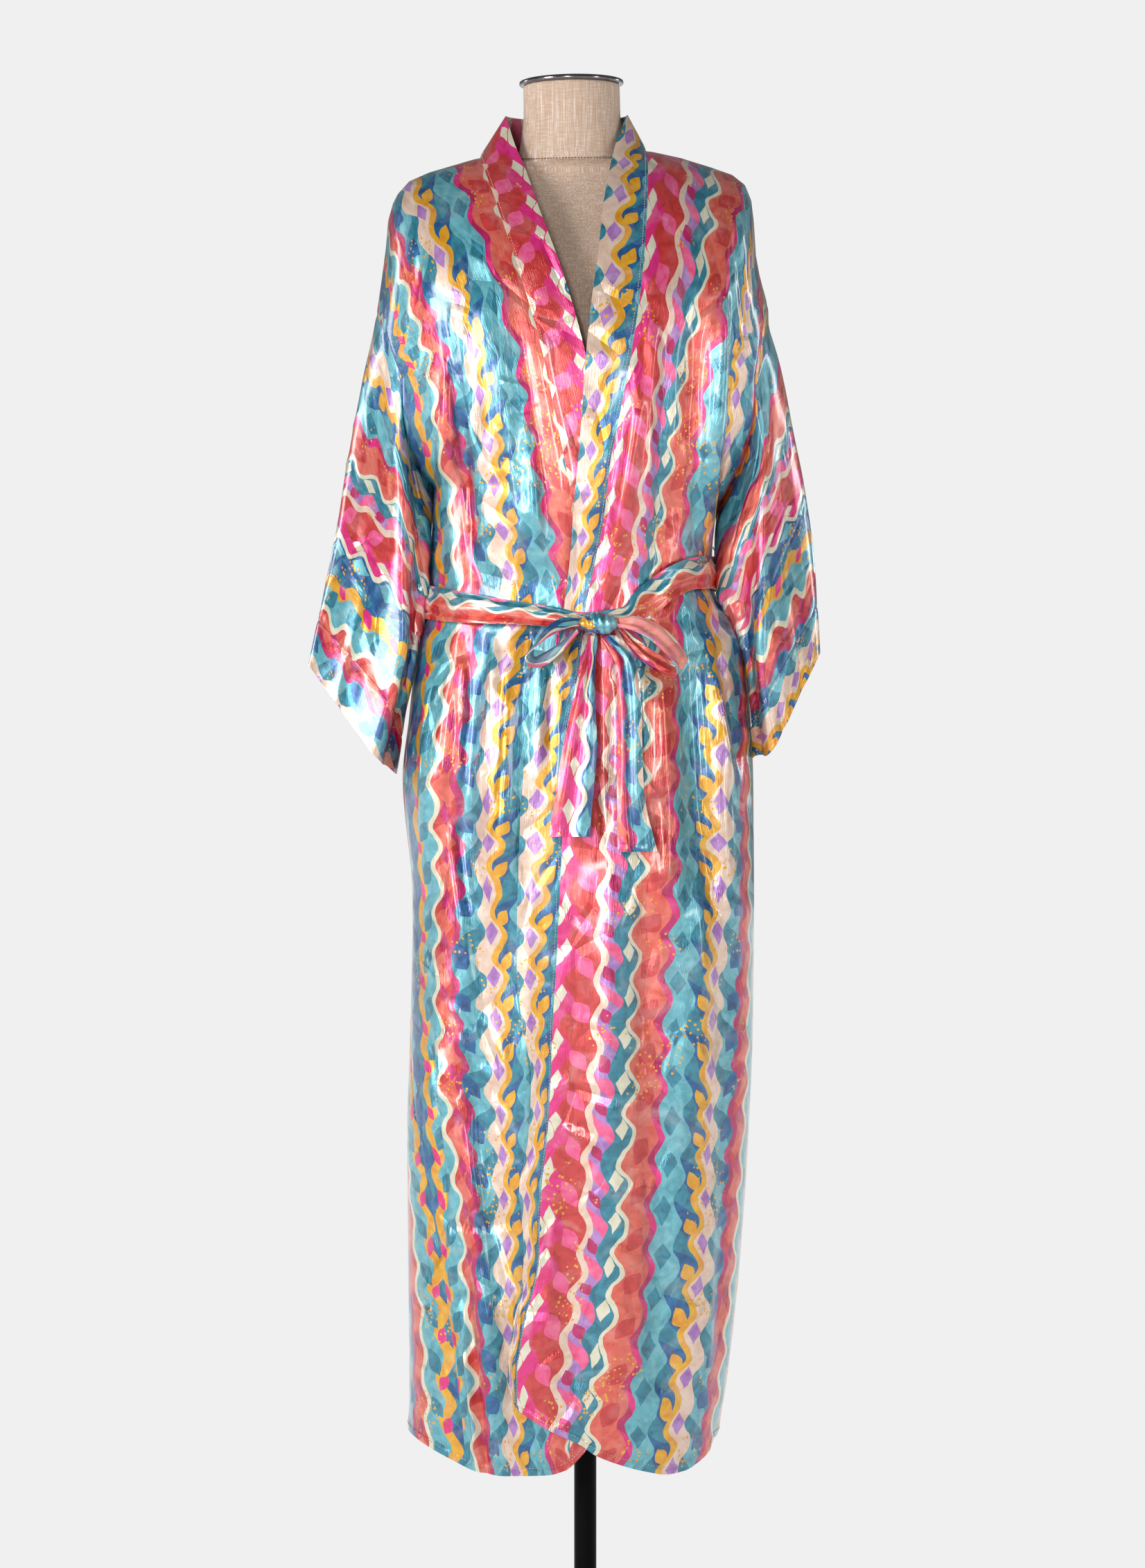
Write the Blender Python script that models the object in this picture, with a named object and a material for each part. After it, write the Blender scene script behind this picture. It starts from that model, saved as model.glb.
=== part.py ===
"""
Kimono coat on a dress form.

A long satin kimono coat hangs open-sleeved on a limbless dress form, whose pole stands on a round foot.
The wearer's left front laps over the right one and a sash ties both at the waist.
Frame: origin at the centre of the foot's underside, +Z up, the coat's front faces -Y,
and the wearer's left is +X. All sizes below are millimetres; points are scaled to metres in solid().
"""
import bpy
import numpy as np
from math import cos, pi, radians, sin

MM = 0.001
CLOTH = 1.5
SEAM_GAP = 0.3
LAP = 5.0

CHEST_Z = 1400.0
UNDERARM_Z = 1271.0
WAIST_Z = 1150.0
GATHER_FOOT_Z = 1090.0
HEM_START_Z = 420.0
HEM_BASE_Z = 220.0
BACK_HEM_Z = 250.0
FAN_ROWS = 6
ARM_ROWS = 6
WAIST_ROWS = 7
SKIRT_ROWS = 8
HEM_ROWS = 4
FRONT_COLUMNS = 15
BACK_COLUMNS = 26
NECK_ROWS = 4
BAND_COLUMNS = 3
SLEEVE_ROWS = 11
CUFF_START = 0.87
FORM_LEAN = radians(1.0)
NECK_X = -14.0
NECK_DEPTH = 74.0
NECK_BACK_Z = 1650.0
COLLAR_DEPTH = 60.5
COLLAR_Z = 1693.0
SEAM_STEP = 0.03
BACK_MIDDLE_X = -8.0
TORSO_FOOT_Z = 800.0
POLE_RADIUS = 12.2
FOOT_RADIUS = 150.0

COLOURS = {
    "satin_coral": (0.75, 0.16, 0.13), "satin_teal": (0.10, 0.42, 0.48), "satin_pink": (0.78, 0.07, 0.32),
    "satin_blue": (0.05, 0.25, 0.48), "satin_yellow": (0.80, 0.52, 0.06), "linen": (0.55, 0.43, 0.31),
    "dark_chrome": (0.25, 0.25, 0.27), "black_paint": (0.012, 0.012, 0.013),
}


def table(columns, rows):
    """A short table with named columns, each as an array."""
    return dict(zip(columns.split(), np.array(rows, float).T))


# Body sections by height: the side silhouettes and the depths of the front and the back.
BODY = table("z left right front back", [
    (200, -194, 142, 128, 118), (290, -193, 155, 129, 120), (430, -194, 169, 130, 122),
    (577, -195, 179, 131, 124), (713, -191, 184, 132, 126), (832, -189, 185, 133, 128),
    (967, -200, 184, 133, 128), (1034, -193, 181, 128, 122), (1073, -189, 177, 123, 115),
    (1113, -183, 172, 116, 105), (1143, -177, 158, 111, 99), (1174, -172, 141, 111, 97),
    (1209, -170, 139, 116, 101), (1259, -166, 144, 124, 108), (1283, -165, 150, 127, 111),
    (1400, -205, 190, 130, 116)])
# Shoulder seams from the neck to the top of each armhole, and the neck curve of the back to its middle.
SHOULDER = {
    -1: table("x z", [(-116, 1646.6), (-137, 1640.5), (-171, 1630.6), (-193, 1620.8), (-205.5, 1607),
                      (-211, 1596), (-216, 1578), (-219, 1545), (-224, 1508), (-229, 1474)]),
    1: table("x z", [(67, 1654), (105, 1646), (135, 1637), (161, 1628), (175, 1617), (182, 1600),
                     (185, 1575), (187, 1540), (191, 1518), (200, 1485)])}
# The armhole below the chest line, front and back, down to the underarm point.
ARMHOLE = {
    -1: table("z x front back", [(1400, -200, 62, 60), (1375, -200, 60, 58), (1340, -195, 49, 46),
                                 (1308, -182, 28, 26), (1283, -165, 0, 0)]),
    1: table("z x front back", [(1400, 185, 60, 58), (1370, 185, 58, 56), (1328, 178, 47, 44),
                                (1288, 162, 27, 25), (1259, 144, 0, 0)])}
# Band seams, where a front meets the neckband, and the free edges of the band.
BAND_SEAM = {
    -1: table("z x", [(300, -17), (900, -17), (1030, -8), (1140, 6), (1266, -14.7), (1304, -22), (1368, -35),
                      (1434, -49), (1506, -70), (1562, -88), (1599, -100), (1646.6, -116)]),
    1: table("z x", [(292, -73), (329, -69), (378, -64), (407, -58), (451, -50), (518, -48), (584, -41),
                     (642, -37.5), (707, -35), (772, -31), (838, -28), (900, -25), (1000, -22), (1080, -8),
                     (1148, 0), (1241, 18.7), (1303, 26), (1340, 33.5), (1434, 51), (1517, 62), (1584, 66.5),
                     (1631, 68), (1654, 67)])}
BAND_FREE = {
    -1: table("z x", [(300, 30), (900, 30), (1030, 39), (1140, 46), (1266, 33), (1304, 25), (1368, 13),
                      (1420, 0), (1467, -12), (1519, -28), (1578, -49), (1633, -67), (1658, -77), (1693, -87)]),
    1: table("z x", [(292, -83), (378, -75), (410, -70), (464, -66), (525, -71), (584, -61), (648, -58),
                     (707, -68), (772, -73.5), (924, -70), (981, -65), (1033, -48), (1080, -38), (1107, -30),
                     (1192, -18), (1254, -13), (1330, -6), (1414, 0), (1475, 6), (1525, 13), (1575, 18),
                     (1620, 25), (1658, 33), (1693, 46)])}
# The side seams leave the silhouette low down, where the back wraps forward on the right side.
SIDE_TURN = table("z degrees", [(200, 57), (290, 52), (420, 43), (560, 28), (680, 9), (760, 0), (1400, 0)])
# Hem heights across each panel, where the lower front corners are rounded.
HEM = {
    -1: table("x z", [(-193, 256), (-165, 243), (-142, 233), (-120, 224), (-82, 220), (-42, 221),
                      (-22, 226), (-6, 240), (10, 262), (24, 292), (32, 330)]),
    1: table("x z", [(-84, 318), (-73, 292), (-61, 283), (-36, 268), (-4, 253), (10, 243), (43, 230),
                     (68, 223), (88, 219), (107, 221), (120, 227), (134, 238), (139, 250)])}
# Soft folds of the fronts as seen from in front: a line from top to bottom, its width and its height.
FRONT_FOLDS = table("x_top z_top x_low z_low width height", [
    (-150, 1450, -160, 1240, 16, 9), (-122, 1420, -128, 1200, 14, -6), (-106, 1500, -100, 1240, 18, 5),
    (-62, 1330, -58, 1190, 12, 5), (60, 1420, 34, 1200, 16, 6), (100, 1330, 88, 1210, 14, -5),
    (146, 1500, 132, 1230, 12, 8), (120, 1460, 112, 1230, 14, -5), (166, 1400, 150, 1270, 10, -4),
    (-150, 1110, -170, 880, 15, 7), (-118, 1110, -132, 840, 16, -6), (-90, 1110, -92, 820, 17, 7),
    (80, 1110, 92, 800, 16, 6), (112, 1120, 128, 820, 16, -6), (140, 1130, 158, 800, 14, 7),
    (-150, 900, -146, 560, 24, 5), (-108, 840, -104, 420, 24, -6), (30, 880, 36, 330, 26, 6),
    (70, 840, 76, 300, 24, -5), (118, 860, 116, 300, 26, 7), (152, 800, 140, 330, 18, -5),
    (-128, 600, -92, 225, 13, 8), (-20, 560, -14, 290, 22, -4)])
BACK_FOLDS = table("x_top z_top x_low z_low width height", [
    (-120, 1500, -112, 1200, 22, 7), (-60, 1480, -52, 1200, 24, -5), (40, 1490, 34, 1200, 24, 6),
    (105, 1470, 96, 1210, 20, -6), (-140, 1110, -160, 500, 24, 8), (-90, 1110, -96, 300, 26, -7),
    (-40, 1120, -46, 260, 26, 8), (12, 1110, 8, 300, 28, -7), (60, 1110, 68, 280, 26, 8),
    (112, 1100, 128, 330, 24, -7), (150, 1000, 150, 420, 18, 6)])
# Gathers pulled in by the sash: how many ripples round the front, their height and how far they reach.
GATHER_PITCH = 48.0
GATHER_HEIGHT = 2.4
GATHER_REACH = 62.0
# Sleeve sections from armhole to cuff: outer fold, front fold, underarm and back, each x, y and z.
SLEEVE = {
    -1: table("t ox oy oz fx fy fz ux uy uz bx by bz", [
        (0.33, -256, -2, 1340, -198, -68, 1272, -180, 4, 1180, -228, 74, 1275),
        (0.67, -277, -4, 1214, -198, -70, 1140, -198, 10, 1072, -242, 78, 1150),
        (1.00, -303, -6, 1091, -204, -62, 1010, -214, 18, 970, -266, 66, 1030)]),
    1: table("t ox oy oz fx fy fz ux uy uz bx by bz", [
        (0.33, 226, -2, 1358, 193, -68, 1275, 158, 4, 1163, 204, 74, 1275),
        (0.67, 248, -4, 1231, 192, -72, 1145, 190, 10, 1068, 222, 78, 1150),
        (1.00, 257, -6, 1104, 194, -62, 1000, 198, 18, 985, 236, 66, 1040)])}
# The sash across the front: its middle line and half width, from one side loop to the other.
SASH = table("x z half", [
    (-172, 1158, 18), (-140, 1152, 17), (-98, 1146, 14), (-60, 1142, 12), (-30, 1138, 11), (-6, 1134, 10),
    (36, 1139, 10), (52, 1149, 13), (72, 1161, 16), (100, 1178, 17), (122, 1187, 17), (140, 1190, 18)])
# The knot's middle and its half sizes.
KNOT = (14.0, -137.2, 1131.0)
KNOT_SIZE = (21.0, 13.0, 12.0)
# Bow tails as seen from in front, by height: left and right edge and how far they stand forward.
TAIL = {
    "bow_tail_right": table("z left right forward", [
        (904, -39, 4, 26), (950, -32, 8, 27), (1000, -24, 12, 27), (1067, -8, 9.5, 27), (1118.7, 3, 13, 21.5)]),
    "bow_tail_left": table("z left right forward", [
        (888, 34, 76, 26), (953, 33, 62, 27), (1032, 34, 59, 27), (1087, 31, 54, 27), (1118.7, 15.5, 33, 21.5)])}
# Dress form sections by height, before it leans: half width, depths and how square the outline is.
TORSO = table("z half front back power", [
    (800, 146, 92, 96, 2.3), (806, 152, 98, 101, 2.3), (830, 157, 103, 106, 2.3), (900, 160, 108, 112, 2.3),
    (965, 156, 106, 112, 2.3), (1060, 130, 90, 92, 2.2), (1150, 108, 78, 74, 2.2), (1230, 118, 88, 80, 2.2),
    (1300, 134, 103, 92, 2.2), (1360, 145, 108, 99, 2.2), (1420, 158, 102, 98, 2.2), (1480, 170, 92, 94, 2.2),
    (1530, 177, 79, 86, 2.1), (1575, 180, 58, 66, 1.9), (1599, 178, 47, 54, 1.8), (1613.5, 172, 40, 45, 1.65),
    (1626.6, 157, 36, 40, 1.5), (1636, 131, 34, 38, 1.5), (1642.6, 105, 36, 40, 1.6), (1647.6, 80, 40, 44, 1.8),
    (1650.6, 62, 45, 49, 2.0)])
NECK = table("z half front back", [
    (1650.9, 62, 45, 49), (1660, 58.5, 46.5, 50), (1674, 55.5, 47.5, 50), (1694, 53, 48, 49), (1722, 52.8, 48, 48),
    (1726, 52, 47, 47)])


def smooth(x, xs, ys):
    """Cubic curve through a table's points that keeps to them without overshoot."""
    slope = np.diff(ys) / np.diff(xs)
    agree = slope[1:] * slope[:-1] > 0
    inner = np.where(agree, 2 * slope[1:] * slope[:-1] / np.where(agree, slope[1:] + slope[:-1], 1.0), 0.0)
    tangent = np.concatenate(([slope[0]], inner, [slope[-1]]))
    x = np.clip(np.asarray(x, float), xs[0], xs[-1])
    i = np.clip(np.searchsorted(xs, x) - 1, 0, len(xs) - 2)
    step = xs[i + 1] - xs[i]
    t = (x - xs[i]) / step
    return ((1 + 2 * t) * (1 - t) ** 2 * ys[i] + t * (1 - t) ** 2 * step * tangent[i]
            + t * t * (3 - 2 * t) * ys[i + 1] + t * t * (t - 1) * step * tangent[i + 1])


def column(rows, key, name, at):
    """Read one column of a table at the given places of its key column."""
    order = np.argsort(rows[key])
    return smooth(at, rows[key][order], rows[name][order])


def ease(low, high, x):
    """0 below low, 1 above high, smooth between."""
    t = np.clip((np.asarray(x, float) - low) / (high - low), 0, 1)
    return t * t * (3 - 2 * t)


def even(points, count):
    """Resample a polyline to evenly spaced points."""
    length = np.concatenate(([0], np.cumsum(np.linalg.norm(np.diff(points, axis=0), axis=1))))
    at = np.linspace(0, length[-1], count)
    return np.stack([np.interp(at, length, points[:, k]) for k in range(3)], axis=1)


def folds(rows, x, z):
    """Sum of the soft folds of a table at places seen from in front."""
    total = np.zeros_like(x)
    for xt, zt, xl, zl, width, height in zip(*(rows[k] for k in "x_top z_top x_low z_low width height".split())):
        line = xt + (xl - xt) * np.clip((zt - z) / (zt - zl), -0.2, 1.2)
        fade = (1 - ease(zt - 80, zt + 30, z)) * ease(zl - 45, zl + 70, z)
        total += height * fade * np.exp(-((x - line) / width) ** 2)
    return total


def relief(x, z, back=False):
    """How far the cloth stands out from the smooth body section: its folds and the sash's gathers."""
    rows = BACK_FOLDS if back else FRONT_FOLDS
    reach = np.exp(-(np.abs(z - WAIST_Z - 4) / GATHER_REACH) ** 2)
    gather = GATHER_HEIGHT * reach * np.sin(2 * pi * (x + 9 * np.sin(x / 37.0)) / GATHER_PITCH)
    sides = ease(0, 26, x - column(BODY, "z", "left", z)) * ease(0, 26, column(BODY, "z", "right", z) - x)
    return (folds(rows, x, z) + gather) * sides


def section(angle, z, power=2.4):
    """Point of the body section: 0 at the right side, half a turn at the left, the front between."""
    left, right = column(BODY, "z", "left", z), column(BODY, "z", "right", z)
    depth = np.where(np.sin(angle) > 0, column(BODY, "z", "front", z), column(BODY, "z", "back", z))
    c, s = np.cos(angle), np.sin(angle)
    x = (left + right) / 2 - (right - left) / 2 * np.sign(c) * np.abs(c) ** (2 / power)
    y = -depth * np.sign(s) * np.abs(s) ** (2 / power)
    return x, y


def angle_at(x, z, power=2.4):
    """The section angle of the front at a given x."""
    left, right = column(BODY, "z", "left", z), column(BODY, "z", "right", z)
    c = np.clip(((left + right) / 2 - x) / ((right - left) / 2), -1, 1)
    return np.arccos(np.sign(c) * np.abs(c) ** (power / 2))


def level_row(z, start, end, count, facing):
    """One level row of a panel between two x places on the front (facing -1) or the back (1)."""
    side = -1 if start[0] < end else 1
    depth = column(BODY, "z", "front" if facing < 0 else "back", z)
    middle = (column(BODY, "z", "left", z) + column(BODY, "z", "right", z)) / 2
    reach = abs(start[0] - middle) / (1 - min(0.98, abs(start[1]) / depth) ** 2.4) ** (1 / 2.4)
    first = np.arccos(min(1, abs(start[0] - middle) / reach) ** 1.2)
    share = np.clip((end - middle) * side / reach, -1, 1)
    last = np.arccos(np.sign(share) * abs(share) ** 1.2)
    angle = np.linspace(first, last, 60)
    c = np.cos(angle)
    x = middle + side * reach * np.sign(c) * np.abs(c) ** (1 / 1.2)
    y = facing * depth * np.sin(angle) ** (1 / 1.2)
    return even(np.stack([x, y, np.full_like(x, z)], axis=1), count)


def lapped(points, side, outward=LAP):
    """Move the part of the left front that lies over the right one out by the lap."""
    if side < 0:
        return points
    points = points.copy()
    points[..., 1] -= outward * (1 - ease(70, 130, points[..., 0]))
    return points


def shoulder_line(side, count):
    """Shoulder seam from the armhole to the neck, evenly spaced."""
    rows = SHOULDER[side]
    line = np.stack([rows["x"], np.zeros_like(rows["x"]), rows["z"]], axis=1)[::-1]
    return even(line, count)


def fan(top, chest, rows):
    """Rows between the shoulder line and the chest row, rounding over the shoulder."""
    turn = np.linspace(0, pi / 2, rows + 1)[:, None]
    drop = 1 - np.cos(turn)
    forward = np.sin(turn) ** 1.1
    return np.stack([top[:, 0] + (chest[:, 0] - top[:, 0]) * drop,
                     top[:, 1] + (chest[:, 1] - top[:, 1]) * forward,
                     top[:, 2] + (chest[:, 2] - top[:, 2]) * drop], axis=2)


def armhole_point(side, z, facing):
    """Side edge of a panel between the chest line and the underarm."""
    return (column(ARMHOLE[side], "z", "x", z),
            facing * column(ARMHOLE[side], "z", "front" if facing < 0 else "back", z))


def arm_heights(side):
    """Heights of the rows from the chest line to the underarm."""
    return np.linspace(CHEST_Z, ARMHOLE[side]["z"].min(), ARM_ROWS + 1)


def skirt_heights(side):
    """Heights of the rows below the underarm, before the hem is shaped."""
    return np.concatenate([np.linspace(ARMHOLE[side]["z"].min(), GATHER_FOOT_Z, WAIST_ROWS + 1),
                           np.linspace(GATHER_FOOT_Z, HEM_START_Z, SKIRT_ROWS + 1)[1:],
                           np.linspace(HEM_START_Z, HEM_BASE_Z, HEM_ROWS + 1)[1:]])


def front_grid(side):
    """Outer points of a front, columns from the side seam to the band seam, rows from shoulder to hem."""
    count = FRONT_COLUMNS + 1
    chest = level_row(CHEST_Z, armhole_point(side, CHEST_Z, -1), column(BAND_SEAM[side], "z", "x", CHEST_Z),
                      count, -1)
    upper = fan(shoulder_line(side, count), chest, FAN_ROWS)
    edge = column(BAND_SEAM[side], "z", "x", upper[:, -1, 2])
    upper[:, :, 0] += (edge - upper[:, -1, 0])[:, None] * np.linspace(0, 1, count) ** 2
    rows = [*upper]
    for z in arm_heights(side)[1:]:
        rows.append(level_row(z, armhole_point(side, z, -1), column(BAND_SEAM[side], "z", "x", z), count, -1))
    for z in skirt_heights(side)[1:]:
        turn = radians(column(SIDE_TURN, "z", "degrees", z)) if side < 0 else 0.0
        first = turn if side < 0 else pi
        last = angle_at(column(BAND_SEAM[side], "z", "x", z), z)
        x, y = section(np.linspace(first, last, 80), z)
        rows.append(even(np.stack([x, y, np.full_like(x, z)], axis=1), count))
    return np.array(rows)


def hem_share(z):
    """How far down the hem's rows a height is, from 0 to 1."""
    return np.clip((HEM_START_Z - z) / (HEM_START_Z - HEM_BASE_Z), 0, 1)


def shape_hem(points, rows):
    """Draw the lowest rows of a grid to the hem's own height at each x."""
    points = points.copy()
    hem = smooth(points[..., 0], rows["x"], rows["z"])
    points[..., 2] += (hem - HEM_BASE_Z) * hem_share(points[..., 2])
    return points


def finish_front(points, side):
    """Add folds, the lap and the hem to points on a front."""
    points = shape_hem(points, HEM[side])
    upper_fade = 1 - ease(1480, 1600, points[..., 2])
    points[..., 1] -= relief(points[..., 0], points[..., 2]) * upper_fade
    return lapped(points, side)


def neck_curve(neck):
    """Back neck seam from the shoulder seam to the middle of the back."""
    turn = np.linspace(0, pi / 2, NECK_ROWS + 1)
    return np.stack([NECK_X + (neck[0] - NECK_X) * np.cos(turn), NECK_DEPTH * np.sin(turn),
                     neck[2] + (NECK_BACK_Z - neck[2]) * np.sin(turn)], axis=1)


def back_grid():
    """Outer points of the back, columns from the right side seam to the left, rows from shoulder to hem."""
    half = BACK_COLUMNS // 2
    tops = {}
    for side in (-1, 1):
        line = shoulder_line(side, half - NECK_ROWS + 1)
        tops[side] = np.vstack([line, neck_curve(line[-1])[1:]])
    top = np.vstack([tops[-1], tops[1][::-1][1:]])
    lines = []
    for z in np.linspace(CHEST_Z, UNDERARM_Z, ARM_ROWS + 1):
        pair = {}
        for side in (-1, 1):
            own = CHEST_Z + (z - CHEST_Z) * (CHEST_Z - ARMHOLE[side]["z"].min()) / (CHEST_Z - UNDERARM_Z)
            pair[side] = level_row(own, armhole_point(side, own, 1), BACK_MIDDLE_X, half + 1, 1)
        lines.append(np.vstack([pair[-1], pair[1][::-1][1:]]))
    upper = fan(top, lines[0], FAN_ROWS)
    rows = [*upper, *lines[1:]]
    left_z, right_z = skirt_heights(-1), skirt_heights(1)
    for low, high in zip(left_z[1:], right_z[1:]):
        z = np.linspace(low, high, 120)
        turn = radians(column(SIDE_TURN, "z", "degrees", low))
        x, y = section(np.linspace(turn, -pi, 120), z)
        rows.append(even(np.stack([x, y, z], axis=1), BACK_COLUMNS + 1))
    points = np.array(rows)
    behind = ease(0, 40, points[..., 1])
    fade = 1 - ease(1500, 1600, points[..., 2])
    points[..., 1] += np.where(points[..., 1] >= 0,
                               relief(points[..., 0], points[..., 2], True) * behind * fade, 0)
    points[..., 1] -= np.where(points[..., 1] < 0, relief(points[..., 0], points[..., 2]), 0)
    front_hem = smooth(points[..., 0], HEM[-1]["x"], HEM[-1]["z"])
    back_hem = BACK_HEM_Z + 6 * np.sin(points[..., 0] / 60)
    hem = np.where(points[..., 1] < 0, front_hem, back_hem)
    toward_left = ease(60, 139, points[..., 0])
    hem = hem * (1 - toward_left) + BACK_HEM_Z * toward_left
    points[..., 2] += (hem - HEM_BASE_Z) * hem_share(points[..., 2])
    return points


def unit(vectors):
    """Vectors scaled to length one."""
    return vectors / (np.linalg.norm(vectors, axis=-1, keepdims=True) + 1e-12)


def normals_of(grid, ring=False):
    """Unit normals of a grid from the cells round each point, edges read on from the points inside."""
    whole = np.concatenate([grid, grid[:, :1]], axis=1) if ring else grid
    cell = unit(np.cross(whole[1:, 1:] - whole[:-1, :-1], whole[1:, :-1] - whole[:-1, 1:]))
    cell = np.concatenate([cell[:1], cell, cell[-1:]])
    if ring:
        cell = np.concatenate([cell[:, -1:], cell], axis=1)
    else:
        cell = np.concatenate([cell[:, :1], cell, cell[:, -1:]], axis=1)
    normal = unit(cell[1:, 1:] + cell[:-1, 1:] + cell[1:, :-1] + cell[:-1, :-1])
    if grid.shape[0] > 3:
        normal[0] = 2 * normal[1] - normal[2]
        normal[-1] = 2 * normal[-2] - normal[-3]
    if not ring and grid.shape[1] > 3:
        normal[:, 0] = 2 * normal[:, 1] - normal[:, 2]
        normal[:, -1] = 2 * normal[:, -2] - normal[:, -3]
    return unit(normal)


def draw_back(grid, first_column=0.0, last_column=0.0, first_row=0.0):
    """Draw the edges of a grid back from its seams."""
    grid = grid.copy()
    grid[:, 0] += unit(grid[:, 1] - grid[:, 0]) * first_column
    grid[:, -1] += unit(grid[:, -2] - grid[:, -1]) * last_column
    grid[0] += unit(grid[1] - grid[0]) * first_row
    return grid


def material(name):
    """Principled material of one of the colours above."""
    found = bpy.data.materials.get(name)
    if found:
        return found
    made = bpy.data.materials.new(name)
    made.use_nodes = True
    shader = made.node_tree.nodes["Principled BSDF"]
    shader.inputs["Base Color"].default_value = (*COLOURS[name], 1)
    shader.inputs["Roughness"].default_value = 0.9 if name == "linen" else 0.35
    shader.inputs["Metallic"].default_value = 1.0 if name == "dark_chrome" else 0.0
    return made


def solid(name, points, faces, look, lean=False):
    """Make one named object from points in millimetres."""
    points = np.asarray(points, float).reshape(-1, 3)
    if lean:
        away = points - np.array([0, 0, TORSO_FOOT_Z])
        points = np.stack([away[:, 0] * cos(FORM_LEAN) - away[:, 2] * sin(FORM_LEAN), away[:, 1],
                           away[:, 0] * sin(FORM_LEAN) + away[:, 2] * cos(FORM_LEAN) + TORSO_FOOT_Z], axis=1)
    mesh = bpy.data.meshes.new(name)
    mesh.from_pydata([tuple(p) for p in points * MM], [], faces)
    mesh.update()
    mesh.shade_smooth()
    mesh.set_sharp_from_angle(angle=radians(50))
    mesh.materials.append(material(look))
    made = bpy.data.objects.new(name, mesh)
    bpy.context.collection.objects.link(made)
    return made


def wall(name, grid, look, thickness=CLOTH, ring=False, normals=None):
    """Closed wall of cloth: the grid's own points outside, and inside them the same moved in."""
    rows, cols = grid.shape[:2]
    normal = normals_of(grid, ring) if normals is None else normals
    if np.sum(np.cross(grid[0, 1] - grid[0, 0], grid[1, 0] - grid[0, 0]) * normal[0, 0]) < 0:
        grid, normal = grid[:, ::-1], normal[:, ::-1]
    inner = grid - normal * thickness
    points = np.concatenate([grid.reshape(-1, 3), inner.reshape(-1, 3)])
    half = rows * cols
    faces = []
    last = cols if ring else cols - 1
    for r in range(rows - 1):
        for c in range(last):
            d = (c + 1) % cols
            a, b, e, f = r * cols + c, r * cols + d, (r + 1) * cols + d, (r + 1) * cols + c
            faces.append((a, b, e, f))
            faces.append((a + half, f + half, e + half, b + half))
    for c in range(last):
        d = (c + 1) % cols
        faces += [(d, c, c + half), (d, c + half, d + half)]
        low, lower = (rows - 1) * cols + c, (rows - 1) * cols + d
        faces += [(low, lower, low + half), (lower, lower + half, low + half)]
    if not ring:
        for r in range(rows - 1):
            a, b = r * cols, (r + 1) * cols
            faces += [(a, b, b + half), (a, b + half, a + half)]
            a, b = r * cols + cols - 1, (r + 1) * cols + cols - 1
            faces += [(b, a, b + half), (a, a + half, b + half)]
    return solid(name, points, faces, look)


def turned(name, rings, look, lean=False):
    """Closed solid lofted through rings, capped flat at both ends, the rings listed upward."""
    count = len(rings[0])
    points = np.concatenate(rings)
    faces = [tuple(range(count - 1, -1, -1)), tuple(range((len(rings) - 1) * count, len(rings) * count))]
    for r in range(len(rings) - 1):
        for c in range(count):
            d = (c + 1) % count
            faces.append((r * count + c, r * count + d, (r + 1) * count + d, (r + 1) * count + c))
    return solid(name, points, faces, look, lean)


def oval(z, half, front, back, power=2.0, count=28, middle=0.0):
    """Level closed ring, counter-clockwise from above."""
    angle = np.arange(count) * 2 * pi / count
    c, s = np.cos(angle), np.sin(angle)
    x = middle + half * np.sign(c) * np.abs(c) ** (2 / power)
    y = np.where(s < 0, front, back) * np.sign(s) * np.abs(s) ** (2 / power)
    return np.stack([x, y, np.full_like(x, z)], axis=1)


def share(first, second):
    """Normals that two pieces share along a seam; where they face apart, each keeps its own."""
    pull = np.clip(2 * np.sum(first * second, axis=-1, keepdims=True), 0, 1)
    return unit(first + pull * second), unit(second + pull * first)


def band_grid(side):
    """Outer points of half the neckband, from the middle of the back neck down to the hem."""
    seam = front_grid(side)[:, -1]
    across = np.linspace(0, 1, BAND_COLUMNS + 1)[:, None]
    neck_rise = 46.0 if side < 0 else 39.0
    neck_free = float(BAND_FREE[side]["x"][-1])
    rows = []
    for low, turn in zip(neck_curve(seam[0])[:0:-1], np.linspace(pi / 2, 0, NECK_ROWS + 1)):
        top = np.array([NECK_X + (neck_free - NECK_X) * cos(turn), COLLAR_DEPTH * sin(turn),
                        COLLAR_Z + 3 * sin(turn)])
        rows.append(low + (top - low) * across)
    for point in seam:
        drop = seam[0, 2] - point[2]
        free_z = point[2] + neck_rise * np.exp(-drop / 9)
        free_x = float(column(BAND_FREE[side], "z", "x", free_z))
        level = min(point[2], CHEST_Z)
        own = float(section(angle_at(point[0], level), level)[1])
        reached = float(section(angle_at(free_x, level), level)[1])
        free = np.array([free_x, point[1] * reached / own, free_z])
        rows.append(point + (free - point) * across)
    points = np.array(rows)
    points[NECK_ROWS:] = finish_front(points[NECK_ROWS:], side)
    if side > 0:
        points[:NECK_ROWS, :, 1] -= np.linspace(0, LAP, NECK_ROWS, endpoint=False)[:, None]
    return points


def body():
    """Fronts, back and neckband; their seams share points and normals. Returns what the sleeves need."""
    under = FAN_ROWS + ARM_ROWS
    grids = {"back": back_grid()}
    turns = {"back": normals_of(grids["back"])}
    for side, word in ((-1, "right"), (1, "left")):
        front, band = "front_" + word, "neckband_" + word
        grids[front] = finish_front(front_grid(side), side)
        grids[band] = band_grid(side)
        turns[front] = normals_of(grids[front]) * side
        turns[band] = normals_of(grids[band]) * side
        edge = 0 if side < 0 else -1
        turns[front][:, -1], turns[band][NECK_ROWS:, 0] = share(turns[front][:, -1], turns[band][NECK_ROWS:, 0])
        turns[front][under:, 0], turns["back"][under:, edge] = share(turns[front][under:, 0],
                                                                    turns["back"][under:, edge])
    return grids, turns


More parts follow.
